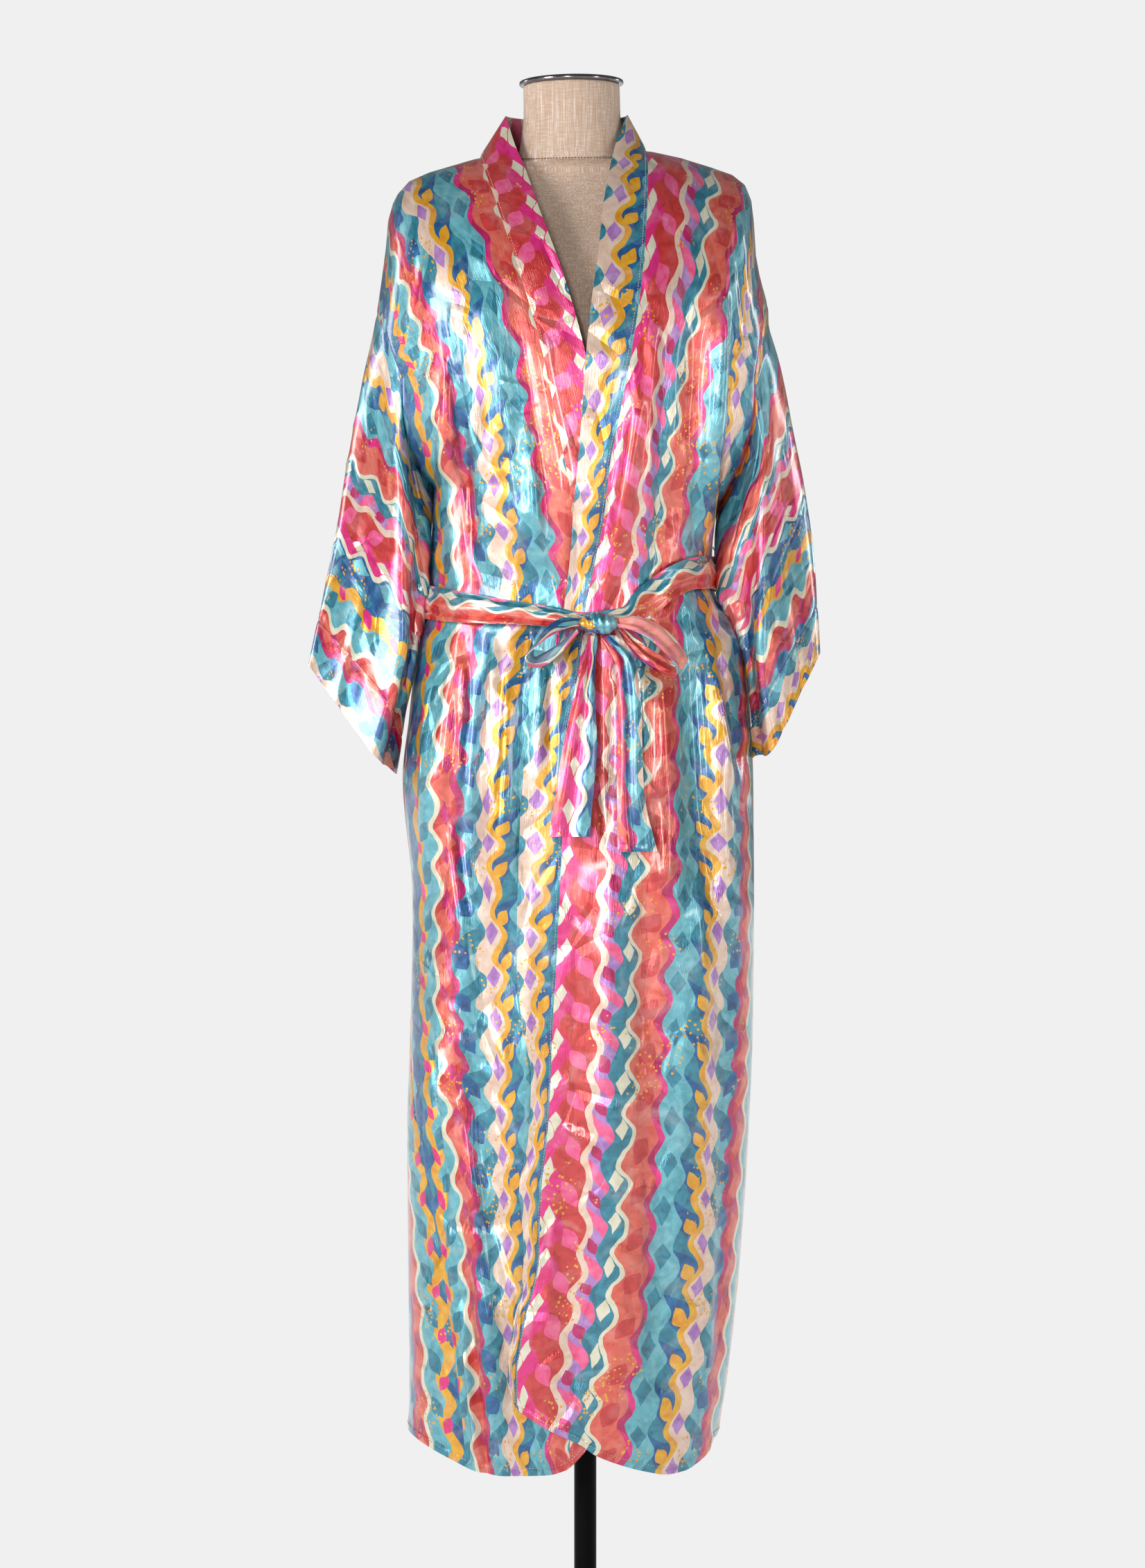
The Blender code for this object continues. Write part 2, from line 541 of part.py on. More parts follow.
def shoulder_seam(points, normals, facing, columns):
    """Set the shoulder edge of a panel just beside the seam's plane, cut square."""
    points[0, columns, 1] = facing * SEAM_GAP / 2
    normals[0, columns, 1] = 0
    normals[0, columns] = unit(normals[0, columns])


def body_walls(grids, turns):
    """Make the solids of the fronts, back and neckband."""
    half = SEAM_GAP / 2
    shoulder = BACK_COLUMNS // 2 - NECK_ROWS + 1
    looks = {"front_right": "satin_coral", "front_left": "satin_pink", "back": "satin_teal",
             "neckband_right": "satin_blue", "neckband_left": "satin_yellow"}
    for name, grid in grids.items():
        normal = turns[name].copy()
        if name == "back":
            points = draw_back(grid, half, half)
            points[0, shoulder:-shoulder] += (grid[1] - grid[0])[shoulder:-shoulder] * SEAM_STEP
            shoulder_seam(points, normal, 1, np.r_[0:shoulder, -shoulder:0])
        elif name.startswith("front"):
            points = draw_back(grid, half, half)
            shoulder_seam(points, normal, -1, np.arange(FRONT_COLUMNS + 1))
        else:
            points = draw_back(grid, first_column=half, first_row=SEAM_GAP)
            points[:NECK_ROWS + 1, 0] += (grid[:, 1] - grid[:, 0])[:NECK_ROWS + 1] * SEAM_STEP
        wall(name, points, looks[name], normals=normal)


def ring_through(corners):
    """Closed ring of a sleeve through its outer fold, front fold, underarm and back."""
    outer, front, under, back = (np.array(c, float) for c in corners)
    middle = (outer + front + under + back) / 4

    def between(a, b, bulge):
        mid = (a + b) / 2
        away = mid - middle
        return mid + away / np.linalg.norm(away) * bulge
    knots = np.array([outer, between(outer, front, 9), front, between(front, under, 2), under,
                      between(under, back, 5), back, between(back, outer, 9)])
    spots = np.interp(np.arange(24), [0, 5, 9, 10.5, 12, 13.5, 15, 19, 24], np.arange(9))
    i = np.floor(spots).astype(int)
    t = (spots - i)[:, None]
    p = [knots[(i + k) % 8] for k in (-1, 0, 1, 2)]
    return 0.5 * (2 * p[1] + (p[2] - p[0]) * t + (2 * p[0] - 5 * p[1] + 4 * p[2] - p[3]) * t ** 2
                  + (3 * p[1] - p[0] - 3 * p[2] + p[3]) * t ** 3)


def sleeve_rings(side, front, back, at):
    """Sleeve rings between the armhole and the cuff's edge at the given shares of its length."""
    under = FAN_ROWS + ARM_ROWS
    back_side = back[:, 0] if side < 0 else back[:, -1]
    armhole = np.vstack([front[:under + 1, 0], back_side[1:under][::-1]])
    rows = SLEEVE[side]
    rings = [armhole]
    for k in range(len(rows["t"])):
        corners = [[rows[name + axis][k] for axis in "xyz"] for name in "ofub"]
        rings.append(ring_through(corners))
    shares = np.concatenate(([0], rows["t"]))
    rings = np.array(rings)
    made = np.zeros((len(at), rings.shape[1], 3))
    for c in range(rings.shape[1]):
        for axis in range(3):
            made[:, c, axis] = smooth(at, shares, rings[:, c, axis])
    return made


def sleeves(grids, turns):
    """Sleeves and their cuff bands, open at both ends; the armhole edges share the body's normals."""
    under = FAN_ROWS + ARM_ROWS
    for side, word in ((-1, "right"), (1, "left")):
        front, edge = "front_" + word, 0 if side < 0 else -1
        at = np.concatenate([np.linspace(0, CUFF_START - 0.0005, SLEEVE_ROWS),
                             np.linspace(CUFF_START + 0.0005, 1, 4)])
        grid = sleeve_rings(side, grids[front], grids["back"], at)
        normal = normals_of(grid, True) * side
        own = normal[0].copy()
        body_side = np.vstack([turns[front][:under + 1, 0], turns["back"][1:under, edge][::-1]])
        normal[0], shared = share(own, body_side)
        turns[front][:under, 0] = shared[:under]
        turns["back"][1:under, edge] = shared[under + 1:][::-1]
        turns["back"][0, edge] = shared[0]
        sleeve = draw_back(grid[:SLEEVE_ROWS], first_row=SEAM_GAP / 2)
        cuff = grid[SLEEVE_ROWS:]
        wall("sleeve_" + word, sleeve, "satin_teal", ring=True, normals=normal[:SLEEVE_ROWS])
        wall("cuff_" + word, cuff, "satin_yellow", ring=True, normals=normal[SLEEVE_ROWS:])


def sash():
    """The sash round the waist, as one ring that rises to its left side loop."""
    angle = np.arange(48) * 2 * pi / 48
    x = section(angle, WAIST_Z)[0]
    front = np.sin(angle) > 0
    behind = np.interp(x, SASH["x"][[0, -1]], SASH["z"][[0, -1]])
    middle = np.where(front, smooth(x, SASH["x"], SASH["z"]), behind)
    half = np.where(front, smooth(x, SASH["x"], SASH["half"]), SASH["half"][0])
    rows = []
    for part in (1, 0.33, -0.33, -1):
        z = middle + part * half
        x, y = section(angle, z)
        inside = np.minimum(x - column(BODY, "z", "left", z), column(BODY, "z", "right", z) - x)
        out = CLOTH + 1.1 + 1.8 * ease(60, 130, x) + (GATHER_HEIGHT + 1.8) * ease(0, 24, inside)
        lap = np.where(front, LAP * (1 - ease(70, 130, x)), 0)
        rows.append(np.stack([x - np.cos(angle) * out, y - np.sin(angle) * out - lap, z], axis=1))
    grid = np.array(rows)
    wall("sash", grid, "satin_blue", ring=True, normals=-normals_of(grid, True))


def belt_loops():
    """A narrow loop at each side seam that carries the sash."""
    for side, name in ((-1, "belt_loop_right"), (1, "belt_loop_left")):
        edge = "left" if side < 0 else "right"
        middle = float(SASH["z"][0] if side < 0 else SASH["z"][-1])
        rows = []
        for share in np.linspace(1, -1, 7):
            z = middle + 30 * share
            stand = 1.4 + (5.0 if side < 0 else 6.6) * (1 - ease(0.66, 1.0, abs(share)))
            x = float(column(BODY, "z", edge, z)) + side * stand
            rows.append([[x, -3.0, z], [x, 3.0, z]])
        grid = np.array(rows)
        wall(name, grid, "satin_pink", thickness=1.0, normals=np.broadcast_to([side, 0.0, 0.0], grid.shape))


def bow_knot():
    """The knot, a soft lump in front of the sash."""
    rings = []
    for share in np.linspace(-0.97, 0.97, 9):
        radius = (1 - share * share) ** 0.5
        angle = np.arange(14) * 2 * pi / 14
        rings.append(np.stack([np.full(14, KNOT[0] + KNOT_SIZE[0] * share),
                               KNOT[1] + KNOT_SIZE[1] * radius * np.cos(angle),
                               KNOT[2] + KNOT_SIZE[2] * radius * np.sin(angle)], axis=1))
    turned("bow_knot", rings, "satin_coral")


def strip(name, path, across, look, thickness=1.2):
    """A strip of cloth along a path: across holds half its width as a vector at each point."""
    path, across = np.array(path, float), np.array(across, float)
    grid = np.stack([path - across, path - across / 3, path + across / 3, path + across], axis=1)
    wall(name, grid, look, thickness=thickness)


def bow():
    """Two bow loops and two tails, each from the knot."""
    bow_knot()
    strip("bow_loop_right",
          [(-7.0, -138, 1133), (-24, -142, 1131), (-42, -145, 1121), (-55, -145, 1108), (-61, -144, 1098),
           (-56, -143, 1090), (-44, -142, 1093), (-26, -141, 1106), (-7.6, -138, 1124)],
          [(0, 7, 2), (0, 9, 4), (2, 10, 5), (4, 10, 4), (4, 10, 2), (2, 10, 4), (-1, 10, 5), (-1, 8, 3),
           (0, 6, 2)], "satin_teal")
    strip("bow_loop_left",
          [(35.8, -141, 1132), (50, -151, 1127), (68, -157, 1117), (84, -157, 1104), (96, -153, 1091),
           (100, -147, 1085), (93, -141, 1090), (80, -139, 1098), (64, -138, 1108), (50, -137, 1118),
           (35.6, -137, 1127)],
          [(2, 0, 5), (5, 1, 9), (8, 1, 12), (9, 1, 12), (9, 1, 10), (9, 0, 9), (9, 0, 9), (8, 0, 9), (7, 0, 8),
           (4, 0, 6), (2, 0, 3)], "satin_coral")
    for name, rows in TAIL.items():
        heights = np.linspace(rows["z"].max(), rows["z"].min(), 9)
        lines = []
        for z in heights:
            left, right = column(rows, "z", "left", z), column(rows, "z", "right", z)
            forward = column(rows, "z", "forward", z)
            depth = float(column(BODY, "z", "front", z))
            share = np.linspace(0, 1, 5)
            fold = 3.5 * np.array([0, 1, -0.4, 0.6, -0.6]) * float(1 - ease(1070, 1118, z))
            lines.append(np.stack([left + (right - left) * share, -(depth + forward + fold),
                                   np.full(5, z)], axis=1))
        grid = np.array(lines)
        wall(name, grid, "satin_pink", thickness=1.2)


def dress_form():
    """The limbless form: torso, neck and the metal disc that caps the neck."""
    rings = [oval(z, half, front, back, power, middle=1.0) for z, half, front, back, power
             in zip(*(TORSO[k] for k in "z half front back power".split()))]
    turned("form_torso", rings, "linen", lean=True)
    rings = [oval(z, half, front, back, middle=1.0) for z, half, front, back
             in zip(*(NECK[k] for k in "z half front back".split()))]
    turned("form_neck", rings, "linen", lean=True)
    cap = [(1726.3, 55.5), (1727, 57), (1730, 57), (1731.2, 55), (1732, 40)]
    turned("neck_cap", [oval(z, half, half * 0.93, half * 0.93, middle=1.0) for z, half in cap],
           "dark_chrome", lean=True)


def stand():
    """The pole, its flange under the torso and the round foot on the floor."""
    def round_rings(rows, count=32):
        return [oval(z, r, r, r, count=count) for z, r in rows]
    turned("foot_plate", round_rings([(0, FOOT_RADIUS - 1), (1.5, FOOT_RADIUS), (6, FOOT_RADIUS),
                                      (8, FOOT_RADIUS - 3)]), "black_paint")
    turned("foot_hub", round_rings([(8.3, 32), (12, 32), (16, 24), (36, 20), (38, 18)], 24), "black_paint")
    turned("pole", round_rings([(38.3, POLE_RADIUS), (793.0, POLE_RADIUS)], 20), "black_paint")
    turned("pole_flange", round_rings([(793.3, 30), (799.1, 30)], 24), "black_paint")


for old in list(bpy.data.objects):
    bpy.data.objects.remove(old, do_unlink=True)
GRIDS, NORMALS = body()
sleeves(GRIDS, NORMALS)
body_walls(GRIDS, NORMALS)
sash()
belt_loops()
bow()
dress_form()
stand()
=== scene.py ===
"""
Kimono coat on a dress form: a long printed satin coat with open sleeves, wrapped left over right and tied
with a sash, on a limbless linen form whose black pole stands on a round foot.
Cloth points are worked out in millimetres and set in metres.
"""
import bpy
import numpy as np
from math import cos, pi, radians, sin
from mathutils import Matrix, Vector


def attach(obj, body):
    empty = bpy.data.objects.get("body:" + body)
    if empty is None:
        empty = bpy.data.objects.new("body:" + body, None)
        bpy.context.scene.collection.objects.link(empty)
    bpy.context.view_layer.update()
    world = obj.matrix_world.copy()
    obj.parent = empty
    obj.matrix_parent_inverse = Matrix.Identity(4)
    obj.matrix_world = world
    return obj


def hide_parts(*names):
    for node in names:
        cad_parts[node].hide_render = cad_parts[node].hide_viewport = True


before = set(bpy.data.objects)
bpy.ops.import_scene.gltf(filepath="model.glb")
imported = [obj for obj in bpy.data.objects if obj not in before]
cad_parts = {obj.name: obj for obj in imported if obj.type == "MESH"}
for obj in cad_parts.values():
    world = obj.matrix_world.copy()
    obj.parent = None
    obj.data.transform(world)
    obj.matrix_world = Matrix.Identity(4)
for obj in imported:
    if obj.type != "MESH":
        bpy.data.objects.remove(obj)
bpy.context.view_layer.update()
SCENE = bpy.context.scene


# Camera: level with the middle of the picture and five metres in front of the coat, upright frame.
CAMERA_AWAY = 5.0
PICTURE_HEIGHT = 1.72
PICTURE_MIDDLE = (-0.014, 0.96)
camera = bpy.data.objects.new("camera", bpy.data.cameras.new("camera"))
camera.location = (PICTURE_MIDDLE[0], -CAMERA_AWAY, PICTURE_MIDDLE[1])
camera.rotation_euler = (radians(90), 0, 0)
camera.data.sensor_width = 36.0
camera.data.lens = 36.0 * CAMERA_AWAY / PICTURE_HEIGHT
SCENE.collection.objects.link(camera)
SCENE.camera = camera


# Studio: a pale floor that fades into a pale room, a tall softbox to the left of the camera, a narrow strip
# beside it, another to the right and two behind, off to the sides.
def add(tree, kind, settings=None, **inputs):
    """Add a shader node; inputs are given by socket name, with _ for a space."""
    made = tree.nodes.new(kind)
    for key, value in (settings or {}).items():
        setattr(made, key, value)
    for key, value in inputs.items():
        plug(tree, value, made.inputs[key.replace("_", " ")])
    return made


def plug(tree, value, socket):
    """Link a socket to another, or set its plain value."""
    if isinstance(value, bpy.types.NodeSocket):
        tree.links.new(value, socket)
    else:
        socket.default_value = value


def calc(tree, operation, *values):
    """One Math node; returns its output socket."""
    made = tree.nodes.new("ShaderNodeMath")
    made.operation = operation
    for socket, value in zip(made.inputs, values):
        plug(tree, value, socket)
    return made.outputs[0]


def blend_colour(tree, share, first, second, kind="MIX"):
    """One Mix node on colours; returns its output socket."""
    made = tree.nodes.new("ShaderNodeMix")
    made.data_type = "RGBA"
    made.blend_type = kind
    plug(tree, share, made.inputs["Factor"])
    plug(tree, first, made.inputs[6])
    plug(tree, second, made.inputs[7])
    return made.outputs[2]


def linear(colour):
    """A colour given as red, green and blue from 0 to 255, as Blender's own values."""
    share = np.array(colour, float) / 255
    return (*np.where(share <= 0.04045, share / 12.92, ((share + 0.055) / 1.055) ** 2.4).tolist(), 1.0)


def look(name):
    """A material with only a Principled shader; returns the material, its tree and the shader."""
    made = bpy.data.materials.new(name)
    made.use_nodes = True
    return made, made.node_tree, made.node_tree.nodes["Principled BSDF"]


PALE = 0.871
ROOM = 0.18
SCENE.view_settings.view_transform = "Standard"
SCENE.view_settings.look = "None"
room = bpy.data.worlds.new("pale_room")
SCENE.world = room
room.use_nodes = True
sky = room.node_tree
seen = add(sky, "ShaderNodeLightPath").outputs["Is Camera Ray"]
strength = calc(sky, "MULTIPLY_ADD", seen, PALE - ROOM, ROOM)
sky.nodes["Background"].inputs["Color"].default_value = (1, 1, 1, 1)
sky.links.new(strength, sky.nodes["Background"].inputs["Strength"])

floor_mesh = bpy.data.meshes.new("floor")
floor_mesh.from_pydata([(-30, -30, 0), (30, -30, 0), (30, 30, 0), (-30, 30, 0)], [], [(0, 1, 2, 3)])
floor = bpy.data.objects.new("floor", floor_mesh)
SCENE.collection.objects.link(floor)
paper, tree, shader = look("pale_floor")
shader.inputs["Base Color"].default_value = (0.74, 0.74, 0.74, 1)
shader.inputs["Roughness"].default_value = 0.9
away = add(tree, "ShaderNodeVectorMath", {"operation": "LENGTH"},
           Vector=add(tree, "ShaderNodeTexCoord").outputs["Object"]).outputs["Value"]
fade = add(tree, "ShaderNodeMapRange", {"interpolation_type": "SMOOTHSTEP"}, Value=away, From_Min=0.16,
           From_Max=0.5).outputs[0]
glow = add(tree, "ShaderNodeEmission", Color=(1, 1, 1, 1), Strength=PALE).outputs[0]
mixed = tree.nodes.new("ShaderNodeMixShader")
plug(tree, fade, mixed.inputs[0])
plug(tree, shader.outputs[0], mixed.inputs[1])
plug(tree, glow, mixed.inputs[2])
tree.links.new(mixed.outputs[0], tree.nodes["Material Output"].inputs["Surface"])
floor_mesh.materials.append(paper)


def softbox(name, place, aim, size, radiance):
    """A soft rectangular light that the camera doesn't see."""
    data = bpy.data.lights.new(name, "AREA")
    data.shape = "RECTANGLE"
    data.size, data.size_y = size
    data.energy = radiance * pi * size[0] * size[1]
    made = bpy.data.objects.new(name, data)
    made.location = place
    made.rotation_euler = (Vector(aim) - Vector(place)).to_track_quat("-Z", "Y").to_euler()
    made.visible_camera = False
    SCENE.collection.objects.link(made)


softbox("key_left", (-2.5, -2.2, 1.72), (0, 0, 1.3), (0.8, 1.9), 15.0)
softbox("front_strip", (-0.5, -3.2, 1.5), (0, 0, 1.3), (0.3, 1.2), 24.0)
softbox("strip_right", (2.6, -1.9, 1.6), (0, 0, 1.2), (0.3, 1.6), 10.0)
softbox("back_left", (-3.3, 1.7, 1.9), (0, 0, 1.2), (0.5, 1.5), 7.0)
softbox("back_right", (3.2, 1.8, 1.7), (0, 0, 1.1), (0.4, 1.5), 7.0)


# Stand: a round steel foot, its hub, the pole and the flange under the torso, all in black powder paint.
# The foot has a rounded rim and the hub a soft fillet.
def finished(name, points, faces, materials, uv=None, spots=None, replaces=()):
    """Make one smooth mesh piece from points in metres that rides on the root body."""
    mesh = bpy.data.meshes.new(name)
    mesh.from_pydata(points.tolist(), [], faces)
    for made in materials:
        mesh.materials.append(made)
    if spots is not None:
        mesh.polygons.foreach_set("material_index", spots)
    if uv is not None:
        mesh.uv_layers.new(name="cloth").data.foreach_set("uv", np.asarray(uv, np.float32).ravel())
    mesh.update()
    mesh.shade_smooth()
    mesh.set_sharp_from_angle(angle=radians(50))
    made = bpy.data.objects.new(name, mesh)
    SCENE.collection.objects.link(made)
    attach(made, "root")
    if replaces:
        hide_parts(*replaces)
    return made


def lofted(rings):
    """Points in metres and faces of a closed loft, its ends capped; rings are listed upward."""
    count = len(rings[0])
    faces = [tuple(range(count - 1, -1, -1)), tuple(range((len(rings) - 1) * count, len(rings) * count))]
    for r in range(len(rings) - 1):
        for c in range(count):
            d = (c + 1) % count
            faces.append((r * count + c, r * count + d, (r + 1) * count + d, (r + 1) * count + c))
    return np.concatenate(rings) * 0.001, faces


def circle(z, radius, count=96):
    """Level ring of the stand."""
    angle = np.arange(count) * 2 * pi / count
    return np.stack([radius * np.cos(angle), radius * np.sin(angle), np.full(count, float(z))], axis=1)


def mapped(tree, value, low, high, **ends):
    """One Map Range node from low to high; From_Min and From_Max are 0 and 1 unless given."""
    return add(tree, "ShaderNodeMapRange", Value=value, To_Min=low, To_Max=high, **ends).outputs[0]


def cloud(tree, place, scale, detail, **more):
    """One Noise node at a place; returns its value."""
    return add(tree, "ShaderNodeTexNoise", Vector=place, Scale=scale, Detail=detail, **more).outputs[0]


def finish_look(tree, shader, **looks):
    """Set or link several of a shader's inputs, given by name with _ for a space."""
    for key, value in looks.items():
        plug(tree, value, shader.inputs[key.replace("_", " ")])


GRAIN_SIZE, GRAIN_HEIGHT = 900.0, 0.00025
BLACK, tree, shader = look("black_powder_paint")
place = add(tree, "ShaderNodeTexCoord").outputs["Object"]
worn = cloud(tree, place, 14.0, 4.0)
speck = cloud(tree, place, GRAIN_SIZE, 3.0)
grain = add(tree, "ShaderNodeBump", Height=speck, Strength=0.5, Distance=GRAIN_HEIGHT)
finish_look(tree, shader, Roughness=mapped(tree, worn, 0.36, 0.52), Normal=grain.outputs[0],
            Base_Color=blend_colour(tree, worn, (0.001, 0.001, 0.0011, 1), (0.003, 0.003, 0.0032, 1)))
shader.inputs["Specular IOR Level"].default_value = 0.08

# Height and radius of each turned edge, from the floor up.
STAND = {"foot_plate": [(0, 147.5), (0.5, 149), (1.6, 149.9), (3, 150), (5.4, 149.8), (6.8, 148.8), (7.7, 147),
                        (8.0, 144.5)],
         "foot_hub": [(8.3, 32), (10.5, 31.6), (12.5, 30), (14.5, 27), (17, 24.6), (22, 22.6), (30, 21.2),
                      (35.5, 20.4), (37.2, 19.6), (38, 18)],
         "pole": [(38.3, 12.2), (400, 12.2), (793, 12.2)],
         "pole_flange": [(793.3, 28.6), (793.9, 29.8), (796, 30), (798.5, 29.8), (799.1, 28.8)]}
for name, rows in STAND.items():
    points, faces = lofted([circle(z, r) for z, r in rows])
    finished(name + "_turned", points, faces, [BLACK], replaces=[name])


# Dress form: light foam covered with natural linen, limbless, flat where the arms would be, its neck joined
# at a curved seam and capped with a dark chrome disc. It leans a degree to one side as it stands.
def table(columns, rows):
    """A short table with named columns, each as an array."""
    return dict(zip(columns.split(), np.array(rows, float).T))


def smooth(x, xs, ys):
    """Cubic curve through a table's points that keeps to them without overshoot."""
    slope = np.diff(ys) / np.diff(xs)
    agree = slope[1:] * slope[:-1] > 0
    inner = np.where(agree, 2 * slope[1:] * slope[:-1] / np.where(agree, slope[1:] + slope[:-1], 1.0), 0.0)
    tangent = np.concatenate(([slope[0]], inner, [slope[-1]]))
    x = np.clip(np.asarray(x, float), xs[0], xs[-1])
    i = np.clip(np.searchsorted(xs, x) - 1, 0, len(xs) - 2)
    step = xs[i + 1] - xs[i]
    t = (x - xs[i]) / step
    return ((1 + 2 * t) * (1 - t) ** 2 * ys[i] + t * (1 - t) ** 2 * step * tangent[i]
            + t * t * (3 - 2 * t) * ys[i + 1] + t * t * (t - 1) * step * tangent[i + 1])


def column(rows, key, name, at):
    """Read one column of a table at the given places of its key column."""
    order = np.argsort(rows[key])
    return smooth(at, rows[key][order], rows[name][order])


def ease(low, high, x):
    """0 below low, 1 above high, smooth between."""
    t = np.clip((np.asarray(x, float) - low) / (high - low), 0, 1)
    return t * t * (3 - 2 * t)


FORM_LEAN = radians(1.0)
TORSO_FOOT_Z = 800.0
NECK_SEAM_Z = 1650.75
NECK_SEAM_DIP = 11.0
NECK_SEAM_REACH = 20.0
TORSO = table("z half front back power", [
    (800, 146, 92, 96, 2.3), (801.5, 149.5, 95.5, 98.5, 2.3), (806, 152, 98, 101, 2.3),
    (830, 157, 103, 106, 2.3), (900, 160, 108, 112, 2.3), (965, 156, 106, 112, 2.3),
    (1060, 130, 90, 92, 2.2), (1150, 108, 78, 74, 2.2), (1230, 118, 88, 80, 2.2), (1300, 134, 103, 92, 2.2),
    (1360, 145, 108, 99, 2.2), (1420, 158, 102, 98, 2.2), (1480, 170, 92, 94, 2.2), (1530, 177, 79, 86, 2.1),
    (1575, 180, 58, 66, 1.9), (1599, 178, 47, 54, 1.8), (1613.5, 172, 40, 45, 1.65),
    (1626.6, 157, 36, 40, 1.5), (1636, 131, 34, 38, 1.5), (1642.6, 105, 36, 40, 1.6),
    (1647.6, 80, 40, 44, 1.8), (1650.6, 62, 45, 49, 2.0)])
NECK = table("z half front back power", [
    (1650.9, 61.4, 44.4, 48.4, 2), (1652, 61.8, 45, 48.8, 2), (1660, 58.5, 46.5, 50, 2),
    (1674, 55.5, 47.5, 50, 2), (1694, 53, 48, 49, 2), (1722, 52.8, 48, 48, 2), (1725, 52.4, 47.4, 47.4, 2),
    (1726, 51.5, 46.5, 46.5, 2)])
CAP = table("z half front back power", [
    (1726.3, 55.2, 51.3, 51.3, 2), (1726.6, 56.3, 52.4, 52.4, 2), (1727.4, 57, 53, 53, 2),
    (1729.8, 57, 53, 53, 2), (1730.8, 56.2, 52.3, 52.3, 2), (1731.4, 54.6, 50.8, 50.8, 2),
    (1732, 40, 37.2, 37.2, 2)])


def form_ring(rows, z, count=120):
    """Level ring of the form at a height, leaning as the form does."""
    half, front, back, power = (float(column(rows, "z", name, z)) for name in "half front back power".split())
    angle = np.arange(count) * 2 * pi / count
    c, s = np.cos(angle), np.sin(angle)
    x = 1.0 + half * np.sign(c) * np.abs(c) ** (2 / power)
    y = np.where(s < 0, front, back) * np.sign(s) * np.abs(s) ** (2 / power)
    dip = NECK_SEAM_DIP * np.exp(-((z - NECK_SEAM_Z) / NECK_SEAM_REACH) ** 2) * (s * 0.5 - 0.5)
    up = z + dip - TORSO_FOOT_Z
    return np.stack([x * cos(FORM_LEAN) - up * sin(FORM_LEAN), y,
                     x * sin(FORM_LEAN) + up * cos(FORM_LEAN) + TORSO_FOOT_Z], axis=1)


LINEN, tree, shader = look("natural_linen")
place = add(tree, "ShaderNodeTexCoord").outputs["Object"]
weft, warp, slub = (
    cloud(tree, add(tree, "ShaderNodeMapping", Vector=place, Scale=scale).outputs[0], 1.0, detail)
    for scale, detail in (((90, 90, 1700), 3.0), ((1700, 1700, 60), 3.0), ((800, 800, 18), 4.0)))
thread = calc(tree, "ADD", calc(tree, "MULTIPLY", weft, 0.4),
              calc(tree, "ADD", calc(tree, "MULTIPLY", warp, 0.4), calc(tree, "MULTIPLY", slub, 0.5)))
cover = add(tree, "ShaderNodeValToRGB", Fac=thread)
for stop, (at, colour) in zip([*cover.color_ramp.elements, cover.color_ramp.elements.new(0.62)],
                              [(0.44, (176, 146, 122)), (0.86, (214, 188, 166)), (0.64, (196, 168, 145))]):
    stop.position = at
    stop.color = linear(colour)
stain = calc(tree, "MULTIPLY", cloud(tree, place, 9.0, 3.0), 0.22)
weave = add(tree, "ShaderNodeBump", Height=thread, Strength=0.6, Distance=0.0006).outputs[0]
finish_look(tree, shader, Roughness=0.88, Normal=weave,
            Base_Color=blend_colour(tree, stain, cover.outputs[0], linear((160, 132, 112))))
shader.inputs["Sheen Weight"].default_value = 0.15
shader.inputs["Sheen Roughness"].default_value = 0.5

CHROME, tree, shader = look("dark_chrome")
place = add(tree, "ShaderNodeTexCoord").outputs["Object"]
scratch = cloud(tree, place, 180.0, 5.0)
finish_look(tree, shader, Metallic=1.0, Roughness=mapped(tree, scratch, 0.1, 0.26),
            Base_Color=blend_colour(tree, scratch, (0.13, 0.13, 0.14, 1), (0.25, 0.25, 0.27, 1)))

TORSO_HEIGHTS = [800, 800.6, 801.5, 803, 806, *np.linspace(812, 1640, 96), 1642.6, 1645, 1647.6, 1649.4,
                 1650.2, 1650.6]
NECK_HEIGHTS = [1650.9, 1651.3, 1652, 1654, *np.linspace(1657, 1722, 22), 1723.6, 1725, 1726]
for name, made_as, rows, heights, made, slot_name in (
        ("form_torso", "_covered", TORSO, TORSO_HEIGHTS, LINEN, "linen"),
        ("form_neck", "_covered", NECK, NECK_HEIGHTS, LINEN, "linen"),
        ("neck_cap", "_polished", CAP, CAP["z"], CHROME, "dark_chrome")):
    points, faces = lofted([form_ring(rows, z) for z in heights])
    finished(name + made_as, points, faces, [made], replaces=[name])


# Cloth of the coat: thin crisp satin printed with in-phase wavy stripes, small lozenges, leaves and dots in
# watercolour tones. Stripes run down the body, the neckband and the sash, and across the sleeves.
REPEAT = 0.33
WAVE_LENGTH = 0.048
WAVE_SWING = 0.0056
SWAY_LENGTH, SWAY_SWING = 0.087, 0.0012
TURN_LENGTH = 0.061
PAINTS = {"coral": (214, 62, 60), "salmon": (232, 112, 94), "ivory": (232, 228, 206), "blue": (24, 104, 160),
          "teal": (48, 142, 164), "aqua": (112, 188, 200), "pink": (232, 40, 138), "magenta": (198, 20, 110),
          "mustard": (236, 178, 30), "beige": (238, 212, 194), "lilac": (190, 140, 206),
          "rose": (244, 104, 158)}
